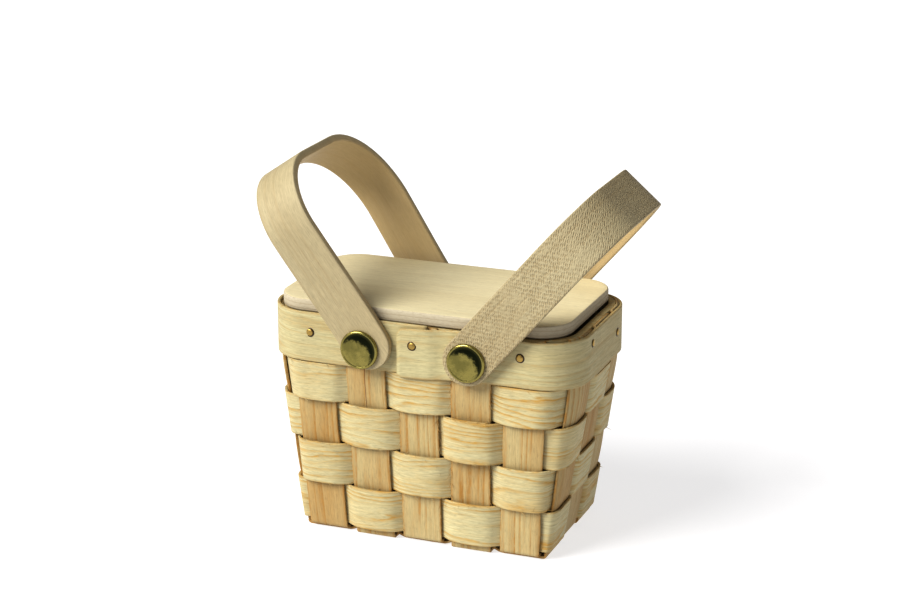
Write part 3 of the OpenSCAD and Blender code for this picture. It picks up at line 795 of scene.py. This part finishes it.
def fibre_tree():
    """Scatters fine torn fibres over a strip's long edges."""
    if "Loose fibres" in bpy.data.node_groups:
        return bpy.data.node_groups["Loose fibres"]
    tree, source, sink = new_tree(
        "Loose fibres",
        [
            ("Density", "Float"), ("Fibre length", "Float"), ("Fibre radius", "Float"), ("Seed", "Int"),
            ("Finish", "Material"),
        ],
    )
    at_edge = put(
        tree, "FunctionNodeCompare", read_number(tree, "rim"), TORN_EDGE, data_type="FLOAT",
        operation="GREATER_THAN",
    )
    high = put(tree, "ShaderNodeSeparateXYZ", put(tree, "GeometryNodeInputPosition").outputs[0]).outputs[2]
    clear = put(tree, "FunctionNodeCompare", high, FIBRES_FROM, data_type="FLOAT", operation="GREATER_THAN")
    both = put(tree, "FunctionNodeBooleanMath", at_edge.outputs[0], clear.outputs[0], operation="AND")
    dots = put(tree, "GeometryNodeDistributePointsOnFaces", source.outputs["Geometry"], both.outputs[0],
               named={"Density": source.outputs["Density"], "Seed": source.outputs["Seed"]})
    hair = put(
        tree, "GeometryNodeMeshCone",
        named={
            "Vertices": 4, "Side Segments": 1, "Fill Segments": 1, "Radius Top": 0.0,
            "Radius Bottom": source.outputs["Fibre radius"], "Depth": source.outputs["Fibre length"],
        },
    )
    wild = scaled(tree, any_vector(tree, (-1, -1, -1), (1, 1, 1), source.outputs["Seed"]), FIBRE_SPREAD)
    turned = facing(tree, vectors(tree, "ADD", read_number(tree, "lie", "FLOAT_VECTOR"), wild))
    size = any_vector(tree, (0.6, 0.6, 0.3), (1.2, 1.2, 1.5), 3)
    placed = put(tree, "GeometryNodeInstanceOnPoints", dots.outputs["Points"],
                 named={"Instance": hair.outputs["Mesh"], "Rotation": turned, "Scale": size})
    finish_tree(tree, placed.outputs[0], source.outputs["Finish"], sink)
    return tree


# The basket's shape


def smooth(x):
    x = min(1.0, max(0.0, x))
    return x * x * (3 - 2 * x)


def mix(a, b, t):
    return a + (b - a) * t


class Wall:
    """The woven wall: its plan at any height, and where each stake stands."""

    def __init__(self):
        self.size = sizes("weave")
        self.rim_z = BAND_LOW.z
        w = self.size
        self.half_gap = w.splint_t / 2 + w.cross_gap / 4
        self.floor_mid = self.half_gap + w.splint_t / 2
        self.floor_top = self.floor_mid + self.half_gap + w.splint_t / 2
        self.row_low = self.floor_top + LOWEST_GAP
        self.row_pitch = (self.rim_z - self.row_low - HIGHEST_GAP) / (len(WEAVERS) - TALLER_TOP)
        self.top = BAND_HIGH.z - sizes("rim").rebate

    def rise(self, z):
        """Share of the way from the floor up to the rim."""
        return min(1.0, max(0.0, z / self.rim_z))

    def shape(self, z):
        w, t = self.size, self.rise(z)
        return mix(w.base_w, w.rim_w, t) / 2, mix(w.base_d, w.rim_d, t) / 2, mix(w.base_r, w.rim_r, t)

    def quarter(self, z):
        """A quarter of the way round the plan."""
        a, b, r = self.shape(z)
        return a + b - (2 - math.pi / 2) * r

    def plan(self, s, z):
        """Point and outward direction at a distance s round the plan from the middle of the front."""
        a, b, r = self.shape(z)
        q = a + b - (2 - math.pi / 2) * r
        t = s % (4 * q)
        n = min(int(t / q), 3)
        d = (t, 2 * q - t, t - 2 * q, 4 * q - t)[n]
        run, arc = a - r, math.pi / 2 * r
        if d < run:
            p = (d, -b, 0.0, -1.0)
        elif d < run + arc:
            turn = (d - run) / r
            p = (run + r * math.sin(turn), -(b - r) - r * math.cos(turn), math.sin(turn), -math.cos(turn))
        else:
            p = (a, -(b - r) + d - run - arc, 1.0, 0.0)
        sx, sy = (1 if n < 2 else -1), (1 if n in (0, 3) else -1)
        return Vector((sx * p[0], sy * p[1], z)), Vector((sx * p[2], sy * p[3], 0.0))

    def front_pitch(self, z):
        w = self.size
        return (w.base_w / 2 - w.front_inset - w.stake_w / 2) / (
            (FRONT_STAKES - 1) / 2
        ) + w.front_fan * self.rise(z)

    def side_pitch(self, z):
        w = self.size
        return (w.base_d / 2 - w.side_inset - w.stake_w / 2) / (
            (SIDE_STAKES - 1) / 2
        ) + w.side_fan * self.rise(z)

    def column(self, c, z):
        """Distance round the plan of column c's middle."""
        q = self.quarter(z)
        half = COLUMNS // 2
        turn, n = divmod(c, COLUMNS)
        m = n % half
        if m < FRONT_STAKES:
            along = (m - (FRONT_STAKES - 1) / 2) * self.front_pitch(z)
        else:
            along = q + (m - FRONT_STAKES - (SIDE_STAKES - 1) / 2) * self.side_pitch(z)
        return 4 * q * turn + (0 if n < half else 2 * q) + along

    def weaver_place(self, p, z):
        """Distance round the plan of a weaver's place p, where the stakes' middles are the whole numbers."""
        c = math.floor(p + 0.5)
        d = p - c
        side = 1 if d > 0 else -1
        half = self.size.stake_w / 2
        if abs(d) <= EDGE_PHASE:
            return self.column(c, z) + d / EDGE_PHASE * half
        return mix(
            self.column(c, z) + side * half, self.column(c + side, z) - side * half,
            (abs(d) - EDGE_PHASE) / (1 - 2 * EDGE_PHASE),
        )

    def row_heights(self, row):
        low = self.row_low + (len(WEAVERS) - 1 - row) * self.row_pitch
        return low, (self.rim_z if row == 0 else low + self.row_pitch) - ROW_GAP

    def row_at(self, z):
        """The weavers' rows counted down from the top one, as a continuous number at height z."""
        low, _ = self.row_heights(0)
        return ((low + low + self.row_pitch) / 2 - z) / self.row_pitch


def stray(x, seed, amount, step=9 * MM):
    """A smooth random number along a strip, coarse with a little fine tearing on it."""
    coarse = noise.noise(Vector((x / step, seed * 7.13, 0.4)))
    fine = noise.noise(Vector((x / (1.3 * MM), seed * 3.7, 5.1)))
    return amount * (coarse + 0.22 * fine)


def stake_stations(wall, index, front):
    """Stations of a stake: down one wall, under the floor and up the other."""
    w = wall.size
    fold_r = w.splint_t / 2 + FOLD_INSIDE
    if front:
        place = (index - (FRONT_STAKES - 1) / 2) * wall.front_pitch(0)
        near, far = index, COLUMNS - SIDE_STAKES - 1 - index
        count, pitch, parity, half = SIDE_STAKES, wall.side_pitch(0), index, lambda z: wall.shape(z)[1]
    else:
        place = (index - (SIDE_STAKES - 1) / 2) * wall.side_pitch(0)
        near, far = FRONT_STAKES + index, COLUMNS - 1 - index
        count, pitch, parity, half = FRONT_STAKES, wall.front_pitch(0), index + 1, lambda z: wall.shape(z)[0]
    levels = [wall.floor_mid + (-1 if (n + parity) % 2 else 1) * wall.half_gap for n in range(count)]
    path = []

    def on_wall(z, column, mirrored):
        turn = -1 if mirrored else 1
        centre = wall.column(column, z)
        phase = column + wall.row_at(z) + 1
        gain = smooth((wall.rim_z - z) / BOW_EASE) * smooth((z - BOW_FROM) / BOW_EASE)
        path.append({
            "at": lambda v: wall.plan(centre + turn * v, z)[0],
            "out": lambda v: wall.plan(centre + turn * v, z)[1],
            "phase": phase, "gain": gain,
        })

    def on_floor(y, z, ny, nz):
        def at(v):
            return Vector((place + v, y, z)) if front else Vector((-y, place + v, z))
        normal = Vector((0, ny, nz)) if front else Vector((-ny, 0, nz))
        path.append({"at": at, "out": lambda v: normal, "phase": 0.0, "gain": 0.0})

    def fold(foot, level, sign, angles):
        for a in angles:
            y, z = sign * (foot - fold_r * (1 - math.cos(a))), level + fold_r * (1 - math.sin(a))
            on_floor(y, z, sign * math.cos(a), -math.sin(a))

    top = wall.top
    turns = [math.radians(a) for a in FOLD_ANGLES]
    for column, level, mirrored in ((near, levels[0], False), (far, levels[-1], True)):
        foot_z = level + fold_r
        stops = math.ceil((top - foot_z) / STAKE_STEP)
        heights = [top + (foot_z - top) * k / stops for k in range(stops + 1)]
        foot = half(foot_z)
        if not mirrored:
            for z in heights:
                on_wall(z, column, False)
            fold(foot, level, -1, turns)
            inner = foot - fold_r
            stops = math.ceil(2 * inner / STAKE_STEP)
            for k in range(1, stops):
                y = -inner + 2 * inner * k / stops
                z = levels[0]
                for n in range(count - 1):
                    a = (n - (count - 1) / 2) * pitch + w.stake_w / 2
                    b = (n + 1 - (count - 1) / 2) * pitch - w.stake_w / 2
                    z += (levels[n + 1] - levels[n]) * smooth((y - a) / (b - a))
                on_floor(y, z, 0, -1)
        else:
            fold(foot, level, 1, reversed(turns))
            for z in reversed(heights):
                on_wall(z, column, True)
    return path


def measure(stations):
    """Writes each station's distance along the strip."""
    along, last = 0.0, None
    for station in stations:
        spot = station["at"](0.0)
        if last is not None:
            along += (spot - last).length
        station["along"], last = along, spot
    return stations


def set_lie(item):
    """Stores the direction of the strip's run on each point, from its grain attribute."""
    mesh = item.data
    grain = [tuple(d.vector) for d in mesh.attributes["grain"].data]
    lie = [Vector((0, 0, 0)) for _ in grain]
    for edge in mesh.edges:
        a, b = edge.vertices
        run = grain[b][0] - grain[a][0]
        if abs(run) > 1e-7:
            way = (mesh.vertices[b].co - mesh.vertices[a].co).normalized() * (1 if run > 0 else -1)
            lie[a] = lie[a] + way
            lie[b] = lie[b] + way
    store = mesh.attributes.new("lie", "FLOAT_VECTOR", "POINT")
    store.data.foreach_set(
        "vector", [x for v in lie for x in (v.normalized() if v.length > 0 else Vector((0, 0, 1)))]
    )


class BasketStakes(bpy.types.Operator):
    """Make the upright splints, which also weave the floor"""

    bl_idname = "basket.stakes"
    bl_label = "Stakes"

    def execute(self, context):
        wall, w = Wall(), sizes("weave")
        groups = [("stake_front_back_", FRONT_STAKES, True), ("stake_end_to_end_", SIDE_STAKES, False)]
        piece = 0
        for prefix, count, front in groups:
            for index in range(count):
                piece += 1
                node = prefix + str(index + 1)
                stations = measure(stake_stations(wall, index, front))
                for station in stations:
                    x = station["along"]
                    left, right = stray(x, piece, w.wander), stray(x, piece + 50, w.wander)
                    station["width"] = w.stake_w - 0.5 * w.wander + left + right
                    station["shift"] = (right - left) / 2
                    station["square"] = w.wave
                    station["lift"] = 0.0
                    split = node == SPLIT_STAKE and SPLIT_FROM < x < SPLIT_TO
                    station["split"] = 1.0 if split else 0.0
                item = strip(
                    "woven_" + node, stations, w.splint_t, SPLINT_EASE, [finish("stake_splint")], piece * 1.7,
                    ("phase", "gain", "square", "lift", "split"),
                )
                fix_normals(item)
                apply_tree(
                    item, weave_tree(),
                    {
                        "Crossing height": w.stake_bow, "Undulation": w.undulation, "Seed": float(piece),
                        "Finish": finish("stake_splint"),
                    },
                )
                settle(item, "basket", [node], "stakes")
        return {"FINISHED"}


def weaver_station(wall, p, low, high, squares, **more):
    """A weaver's station at place p, its wave's squareness running from the lower to the upper edge."""
    places = [wall.weaver_place(p, z) for z in (low, high)]
    tall, mid = high - low, (low + high) / 2

    def plan(v):
        return wall.plan(mix(*places, (mid + v - low) / tall), mid + v)

    def square(v, o):
        return mix(*squares, min(1.0, max(0.0, v / tall + 0.5)))

    return {"at": lambda v: plan(v)[0], "out": lambda v: plan(v)[1], "width": tall, "square": square, **more}


class BasketWeavers(bpy.types.Operator):
    """Make the four splints that are woven round the stakes"""

    bl_idname = "basket.weavers"
    bl_label = "Weavers"

    def execute(self, context):
        wall, w = Wall(), sizes("weave")
        for row, node in enumerate(WEAVERS):
            low, high = wall.row_heights(row)
            lap = LAP_COLUMNS[row]
            stations = []
            for n in range(int(WEAVER_STEPS * (COLUMNS + 0.5 + EDGE_PHASE)) + 1):
                p = lap - 0.5 + n / WEAVER_STEPS
                c = math.floor(p + 0.5)
                ends = c % (COLUMNS // 2) >= FRONT_STAKES
                lift = (w.splint_t + 0.1 * MM) * (1 - smooth((p - lap - EDGE_PHASE) / (1 - 2 * EDGE_PHASE)))
                top_square = w.flat_wave if row == 0 else w.wave
                squares = (w.wave, top_square)
                if ends:
                    squares = (max(w.end_wave, w.wave), max(w.end_wave, top_square))
                stations.append(
                    weaver_station(wall, p, low, high, squares, phase=p + row, gain=1.0, lift=lift)
                )
            measure(stations)
            for station in stations:
                x = station["along"]
                under, over = stray(x, row + 90, w.wander * 0.8), stray(x, row + 70, w.wander * 0.8)
                if row == 0:
                    over = 0.0
                station["width"] += under + over - 0.35 * w.wander
                station["shift"] = (over - under) / 2
            item = strip(
                "woven_" + node, stations, w.splint_t, SPLINT_EASE, [finish("weaver_splint")],
                31.0 + row * 2.9, ("phase", "gain", "square", "lift"),
            )
            fix_normals(item)
            apply_tree(
                item, weave_tree(),
                {
                    "Crossing height": w.splint_t + w.cross_gap, "Undulation": w.undulation,
                    "Seed": 20.0 + row, "Finish": finish("weaver_splint"),
                },
            )
            settle(item, "basket", [node], "weavers")
        return {"FINISHED"}


def upright(x, y, mid, out, **more):
    """A station that stands upright, with its middle at x, y, mid."""
    return {"at": lambda v: Vector((x, y, mid + v)), "out": lambda v: out, **more}


class BasketRimBands(bpy.types.Operator):
    """Make the inner and outer bands that clasp the tops of the stakes"""

    bl_idname = "basket.rim_bands"
    bl_label = "Rim bands"

    def band(self, wall, node, start, end, offset, low, high, thick, piece):
        stations = []
        count = int((end - start) / BAND_STEP)
        for k in range(count + 1):
            s = start + (end - start) * k / count
            place, out = wall.plan(s, wall.rim_z)
            off = offset(s)
            bottom = low(s) + stray(s, piece, BAND_BOTTOM_STRAY, BAND_BOTTOM_RUN)
            top = high(s) + stray(s, piece + 3, BAND_TOP_STRAY, BAND_TOP_RUN)
            x, y, mid = place.x + out.x * off, place.y + out.y * off, (bottom + top) / 2
            stations.append(upright(x, y, mid, out, width=top - bottom, along=s - start, split=0.0))
        item = strip("banded_" + node, stations, thick, BAND_EASE, [finish("rim_band")], piece, ("split",))
        fix_normals(item)
        return settle(item, "basket", [node], "bands")

    def execute(self, context):
        wall, w, r = Wall(), sizes("weave"), sizes("rim")
        whole = 4 * wall.quarter(wall.rim_z)
        middle = w.splint_t / 2 + r.gap + r.band_t / 2
        inner = w.splint_t / 2 + r.gap + r.inner_t / 2
        lift = r.band_t + r.gap
        ramp = r.lap_right + TRIM

        def outer(s):
            return middle + lift * (1 - smooth((s - ramp) / r.lap_ramp))

        def drop(s):
            return r.lap_drop * (1 - smooth((s + r.lap_left) / LAP_SLOPE))

        def sanded(s):
            fade = smooth((SANDED_TO * whole - s) / SANDED_FADE)
            return SANDED * smooth((s - SANDED_FROM) / SANDED_EASE) * fade

        def corner(s):
            d = min(LAP_CORNER, s + r.lap_left)
            return LAP_CORNER - math.sqrt(max(0.0, LAP_CORNER * LAP_CORNER - (LAP_CORNER - d) ** 2))

        self.band(
            wall, "rim_band_outer", -r.lap_left, whole + r.lap_right, outer,
            lambda s: BAND_LOW.z - drop(s) + 0.4 * corner(s),
            lambda s: BAND_HIGH.z - drop(s) - corner(s) - sanded(s), r.band_t, 61.3,
        )
        half = whole / 2
        self.band(
            wall, "rim_band_inner", half + TRIM, half + whole - TRIM, lambda s: -inner,
            lambda s: BAND_LOW.z + TRIM, lambda s: wall.top - TRIM, r.inner_t, 67.9,
        )
        return {"FINISHED"}


def handle_path(reach, inset):
    """[place across the basket, distance from the rivets] along a handle's outer face, moved in by inset."""
    h, w, r = sizes("handles"), sizes("weave"), sizes("rim")
    leg = w.rim_d / 2 + w.splint_t / 2 + r.gap + r.band_t + h.gap + h.thickness
    flat = sizes("brass").cap_d / 2 + 1 * MM
    sides = []
    for bend in (h.front_bend, h.back_bend):
        out, top, radius = leg + h.splay - bend, reach - bend, bend - inset
        side = [(leg - inset, -h.width / 2 + x * MM) for x in FOOT_STEPS]
        side += [(leg - inset, x * MM) for x in LEG_STEPS] + [(leg - inset, flat)]
        start = (out + radius, top)
        for k in range(1, LEG_STATIONS):
            t = k / LEG_STATIONS
            side.append(
                (
                    mix(leg - inset, start[0], smooth(t) * LEG_BEND + t * (1 - LEG_BEND)),
                    mix(flat, start[1], t),
                )
            )
        for a in range(0, 91, BEND_STEP):
            turn = math.radians(a)
            side.append((out + radius * math.cos(turn), top + radius * math.sin(turn)))
        sides.append(side)
    front, back = sides
    bridge = [
        (mix(-front[-1][0], back[-1][0], k / BRIDGE_STATIONS), front[-1][1]) for k in range(
            1, BRIDGE_STATIONS
        )
    ]
    return [(-y, z) for y, z in front] + bridge + list(reversed(back))


def handle_station(turn, y, z, out, **more):
    """A handle's station at y, z before the handle is turned into its place."""
    return {
        "at": lambda v: turn @ Vector((v, y, z)), "out": lambda v: out,
        "inner": lambda v, o: 1.0 if o < INNER_SIDE else 0.0, **more,
    }


class BasketHandlesMake(bpy.types.Operator):
    """Make the two bentwood handles"""

    bl_idname = "basket.handles"
    bl_label = "Handles"

    def execute(self, context):
        h = sizes("handles")
        hands = [("handle_left", -1, h.left_lean, h.left_reach, h.left_offset, "handle_smooth", 41.7),
                 ("handle_right", 1, h.right_lean, h.right_reach, h.right_offset, "handle_rough", 47.3)]
        for node, side, lean, reach, offset, look, piece in hands:
            turn = Matrix.Translation((side * h.rivet_x, 0, PIVOT_Z)) @ Matrix.Rotation(side * lean, 4, "Y")
            turn = turn @ Matrix.Translation((-side * offset, 0, 0))
            path, along, last = handle_path(reach, h.thickness / 2), 0.0, None
            stations = []
            for i, (y, z) in enumerate(path):
                a, b = path[max(0, i - 1)], path[min(len(path) - 1, i + 1)]
                run = Vector((0, b[0] - a[0], b[1] - a[1])).normalized()
                out = Vector((0, -run.z, run.y))
                if last is not None:
                    along += math.hypot(y - last[0], z - last[1])
                last = (y, z)
                half = h.width / 2
                if z < 0:
                    half = math.sqrt(max(FOOT_TIP ** 2, half * half - z * z))
                out_world = (turn.to_3x3() @ out).normalized()
                stations.append(handle_station(turn, y, z, out_world, width=2 * half, along=along))
            item = strip(
                "bent_" + node, stations, h.thickness, HANDLE_EASE, [finish(look)], piece, ("inner",)
            )
            fix_normals(item)
            settle(item, node, [node], "handles")
        return {"FINISHED"}


def board(name, low, high, corner, ease, face, edge, piece):
    """A flat board with rounded corners and eased edges, its faces and its edge finished differently."""
    cx, cy = (low.x + high.x) / 2, (low.y + high.y) / 2
    a, b = (high.x - low.x) / 2, (high.y - low.y) / 2

    def outline(inset, z):
        ring = []
        for n in range(4):
            sx, sy = (1, -1, -1, 1)[n], (1, 1, -1, -1)[n]
            for k in range(13):
                t = math.radians(90 * (n + k / 12))
                r = corner - inset
                ring.append(
                    Vector(
                        (
                            cx + sx * (a - corner) + r * math.cos(t),
                            cy + sy * (b - corner) + r * math.sin(t), z,
                        )
                    )
                )
        return ring

    steps = [
        (ease * (1 - math.cos(math.radians(t))), ease * (1 - math.sin(math.radians(t)))) for t in (
            0, 22.5, 45, 67.5, 90
        )
    ]
    rings = [outline(ease + 1.2 * MM, low.z)] + [
        outline(ease - (ease - i), low.z + d) for i, d in reversed(steps)
    ]
    rings += [outline(i, high.z - d) for i, d in steps] + [outline(ease + 1.2 * MM, high.z)]
    points = [p for ring in rings for p in ring]
    n = len(rings[0])
    faces = tube(len(rings), n)
    slots = []
    for i in range(len(rings) - 1):
        slots += [1 if 2 <= i <= len(rings) - 4 else 0] * n
    slots += [0, 0]
    grain = [(p.x, p.y, piece) for p in points]
    rim = [0.0] * len(points)
    item = make_mesh(
        name, points, faces, [("grain", "FLOAT_VECTOR", grain), ("rim", "FLOAT", rim)], [face, edge], slots
    )
    fix_normals(item)
    return item


class BasketLidMake(bpy.types.Operator):
    """Make the lid board and the locating board glued under it"""

    bl_idname = "basket.lid"
    bl_label = "Lid"

    def execute(self, context):
        lid = sizes("lid")
        top = board(
            "planed_lid_board", LID_LOW, LID_HIGH, lid.corner, lid.ease, finish("lid_face"),
            finish("lid_edge"), 3.1,
        )
        settle(top, "lid", ["lid_board"], "lid")
        under = board(
            "planed_lid_locating_board", LOCATOR_LOW, LOCATOR_HIGH, lid.locator_corner, lid.ease * 0.6,
            finish("lid_face"), finish("lid_edge"), 5.3,
        )
        settle(under, "lid", ["lid_locating_board"], "lid")
        return {"FINISHED"}


def lathe(name, profile, turns, worn, pit=0):
    """A turned piece about +Z from [radius, height] pairs, closed at its axis."""
    rings = [
        [
            Vector(
                (r * math.cos(2 * math.pi * k / turns), r * math.sin(2 * math.pi * k / turns), z)
            ) for k in range(turns)
        ]
        for r, z in profile
    ]
    points = [p for ring in rings for p in ring]
    values = [v for v in worn for _ in range(turns)]
    hole_shades = [1.0 if i < pit else 0.0 for i in range(len(profile)) for _ in range(turns)]
    item = make_mesh(
        name, points, tube(len(profile), turns), [("worn", "FLOAT", values), ("pit", "FLOAT", hole_shades)]
    )
    fix_normals(item)
    return item


def set_fasteners(name, points, directions, pattern, look, replaced, slot, tilt=0.0, seed=1):
    item = make_mesh(name, points, [], [("out", "FLOAT_VECTOR", directions)])
    apply_tree(
        item, fastener_tree(),
        {"Fastener": pattern, "Turn": FASTENER_TURN, "Tilt": tilt, "Seed": seed, "Finish": finish(look)},
    )
    settle(item, "basket", replaced, slot)
    return item


class BasketFasteners(bpy.types.Operator):
    """Make the rivets, their washers and the rim's nails"""

    bl_idname = "basket.fasteners"
    bl_label = "Rivets and nails"

    def execute(self, context):
        wall, w, r, h, b = Wall(), sizes("weave"), sizes("rim"), sizes("handles"), sizes("brass")
        face = w.splint_t / 2 + r.gap + r.band_t
        seat = face + h.gap + h.thickness + 0.1 * MM
        inner_face = w.splint_t / 2 + r.gap + r.inner_t
        back = -inner_face - 0.7 * MM
        radius, thick, dome = b.cap_d / 2, b.cap_t, b.cap_dome
        shank = 1.5 * MM
        profile = [
            (0.01 * MM, back - 0.7 * MM), (1.4 * MM, back - 0.62 * MM), (2.3 * MM, back - 0.35 * MM),
            (2.4 * MM, back), (shank, back), (shank, seat), (radius - 0.25 * MM, seat),
            (radius - 0.05 * MM, seat + 0.15 * thick), (radius, seat + 0.4 * thick),
        ]
        worn = [0.3] * 6 + [1.0] * 3
        for t in (30, 60, 90):
            profile.append(
                (
                    radius - 0.45 * thick * (1 - math.cos(math.radians(t))),
                    seat + thick * (0.4 + 0.6 * math.sin(math.radians(t))),
                )
            )
            worn.append(1.0)
        lip = profile[-1][0]
        for x, z in ((0.18, -0.02), (0.32, -0.12), (0.5, -0.14)):
            profile.append((lip - x * MM, seat + thick + z * MM))
            worn.append(0.8 if x < 0.2 else 0.1)
        well = lip - 0.5 * MM
        for k in range(7, -1, -1):
            x = well * k / 8
            profile.append((max(x, 0.01 * MM), seat + thick - 0.14 * MM + dome * (1 - (x / well) ** 2)))
            worn.append(0.0)
        cap = lathe("cap_pattern", profile, CAP_SIDES, worn)
        washer = lathe(
            "washer_pattern", [(r_mm * MM, z_mm * MM) for r_mm, z_mm in WASHER], WASHER_SIDES,
            [0.5] * len(WASHER),
        )
        spots = [(sx * h.rivet_x, sy * w.rim_d / 2, PIVOT_Z) for sx in (-1, 1) for sy in (-1, 1)]
        ways = [(0, sy, 0) for sx in (-1, 1) for sy in (-1, 1)]
        names = [hand + "_" + side for hand in ("left", "right") for side in ("front", "back")]
        set_fasteners(
            "riveted_caps", spots, ways, cap, "brass_cap", ["rivet_" + n for n in names], "brass", seed=4
        )
        inside = [(x, y - way[1] * (inner_face + 0.35 * MM), z) for (x, y, z), way in zip(spots, ways)]
        set_fasteners(
            "riveted_washers", inside, ways, washer, "brass_cap", ["washer_" + n for n in names], "brass",
            seed=5,
        )
        head = b.nail_head / 2
        profile = [
            (0.01 * MM, -1.0 * MM), (0.5 * MM, -1.0 * MM), (0.5 * MM, -0.1 * MM), (head + 0.25 * MM, 0.0),
            (head + 0.22 * MM, 0.04 * MM), (head - 0.2 * MM, 0.05 * MM), (head - 0.1 * MM, 0.1 * MM),
        ]
        profile += [
            (
                (head - 0.1 * MM) * math.cos(math.radians(t)), (0.14 + 0.3 * math.sin(math.radians(t))) * MM
            ) for t in (15, 30, 45, 60, 75, 89)
        ]
        # the first six points, the shank and a flat skirt round the head, carry the painted shade of the
        # nail's hole
        nail = lathe("nail_pattern", profile, NAIL_SIDES, [0.5] * len(profile), pit=6)
        quarter = wall.quarter(wall.rim_z)
        nail_z = BAND_HIGH.z - b.nail_drop
        points, ways = [], []
        for middle in range(4):
            if middle % 2 == 0:
                side = 1 if middle == 0 else -1
                places = [
                    (middle * quarter + n * b.front_pitch - side * b.front_shift, nail_z) for n in (-1, 0, 1)
                ]
            else:
                places = [
                    (middle * quarter + n * b.end_span / 2, nail_z - n * b.end_stagger / 2) for n in (-1, 1)
                ]
            for s, z in places:
                spot, out = wall.plan(s, wall.rim_z)
                over = r.band_t + r.gap if abs(s) < r.lap_right else 0.0
                points.append(Vector((spot.x, spot.y, z)) + out * (face + over))
                ways.append(out)
        set_fasteners(
            "driven_nails", points, ways, nail, "brass_nail",
            ["rim_nails_" + s for s in ("front", "right", "back", "left")], "brass", NAIL_TILT, 8,
        )
        for pattern in (cap, washer, nail):
            bpy.data.objects.remove(pattern)
        return {"FINISHED"}


class BasketFibres(bpy.types.Operator):
    """Scatter loose torn fibres on the splints' edges"""

    bl_idname = "basket.fibres"
    bl_label = "Loose fibres"

    def execute(self, context):
        sources = [(n, STAKE_FIBRES, "stake_splint") for n in ("stake_front_back_3", "stake_front_back_4")]
        sources += [(n, WEAVER_FIBRES, "weaver_splint") for n in WEAVERS]
        for n, (node, density, look) in enumerate(sources):
            source = bpy.data.objects["woven_" + node]
            item = bpy.data.objects.new("loose_fibres_" + node, source.data.copy())
            bpy.context.scene.collection.objects.link(item)
            set_lie(item)
            apply_tree(
                item, fibre_tree(),
                {
                    "Density": density, "Fibre length": FIBRE_LENGTH, "Fibre radius": FIBRE_RADIUS,
                    "Seed": 11 + n, "Finish": finish(look),
                },
            )
            settle(item, "basket", [], "stakes" if "stake" in node else "weavers")
        return {"FINISHED"}


class BasketStudioMake(bpy.types.Operator):
    """Make the floor, the lights and the camera"""

    bl_idname = "basket.studio"
    bl_label = "Studio"

    def execute(self, context):
        scene, st = context.scene, sizes("studio")
        corners = [(x * FLOOR_REACH, y * FLOOR_REACH, 0) for x, y in ((-1, -1), (1, -1), (1, 1), (-1, 1))]
        floor = make_mesh("floor", corners, [(0, 1, 2, 3)], smooth=False)
        paper, _, shader = blank("studio_paper")
        shader.inputs["Base Color"].default_value = tuple(st.floor)
        shader.inputs["Roughness"].default_value = 0.95
        shader.inputs["Specular IOR Level"].default_value = 0.0
        shader.inputs["Emission Color"].default_value = GLOW_COLOUR
        shader.inputs["Emission Strength"].default_value = st.glow
        floor.data.materials.append(paper)
        world = bpy.data.worlds.new("studio_air")
        world.use_nodes = True
        back = world.node_tree.nodes["Background"]
        back.inputs[0].default_value = AIR_COLOUR
        back.inputs[1].default_value = st.sky
        scene.world = world
        sun = bpy.data.lights.new("key_light", "SUN")
        sun.energy, sun.angle, sun.color = st.key, st.soft, KEY_COLOUR
        key = bpy.data.objects.new("key_light", sun)
        key.location = KEY_PLACE
        key.rotation_euler = (-key.location).to_track_quat("-Z", "Y").to_euler()
        scene.collection.objects.link(key)
        data = bpy.data.cameras.new("studio_camera")
        data.sensor_width, data.lens = st.sensor, st.lens
        data.clip_start, data.clip_end = 0.05, 30
        camera = bpy.data.objects.new("studio_camera", data)
        a, e = st.azimuth, st.elevation
        way = Vector((math.sin(a) * math.cos(e), -math.cos(a) * math.cos(e), math.sin(e)))
        camera.location = Vector((0, 0, st.target)) + way * st.distance
        turn = (-way).to_track_quat("-Z", "Y").to_matrix() @ Matrix.Rotation(st.roll, 3, "Z")
        camera.rotation_euler = turn.to_euler()
        scene.collection.objects.link(camera)
        scene.camera = camera
        scene.view_settings.view_transform = "Standard"
        scene.view_settings.gamma = st.contrast
        return {"FINISHED"}


class BasketPanel(bpy.types.Panel):
    """Lists the basket's pieces in the sidebar"""

    bl_idname = "BASKET_PT_pieces"
    bl_label = "Splint Picnic Basket"
    bl_space_type = "VIEW_3D"
    bl_region_type = "UI"
    bl_category = "Basket"

    def draw(self, context):
        for group, _ in GROUPS:
            box = self.layout.box()
            box.label(text=group.capitalize())
            settings = getattr(context.scene, "basket_" + group)
            for name in settings.__annotations__:
                box.prop(settings, name)
        for maker in MAKERS:
            self.layout.operator(maker.bl_idname)


GROUPS = [("weave", BasketWeave), ("rim", BasketRim), ("handles", BasketHandles), ("lid", BasketLid),
          ("brass", BasketBrass), ("finish", BasketFinish), ("studio", BasketStudio)]
MAKERS = [
    BasketStakes, BasketWeavers, BasketRimBands, BasketHandlesMake, BasketLidMake, BasketFasteners,
    BasketFibres, BasketStudioMake,
]


def register():
    for _, group in GROUPS:
        bpy.utils.register_class(group)
    for name, group in GROUPS:
        setattr(bpy.types.Scene, "basket_" + name, bpy.props.PointerProperty(type=group))
    for maker in MAKERS:
        bpy.utils.register_class(maker)
    bpy.utils.register_class(BasketPanel)


def unregister():
    bpy.utils.unregister_class(BasketPanel)
    for maker in reversed(MAKERS):
        bpy.utils.unregister_class(maker)
    for name, group in reversed(GROUPS):
        delattr(bpy.types.Scene, "basket_" + name)
        bpy.utils.unregister_class(group)


def main():
    register()
    for maker in MAKERS:
        area, name = maker.bl_idname.split(".")
        getattr(getattr(bpy.ops, area), name)()


if __name__ == "__main__":
    main()
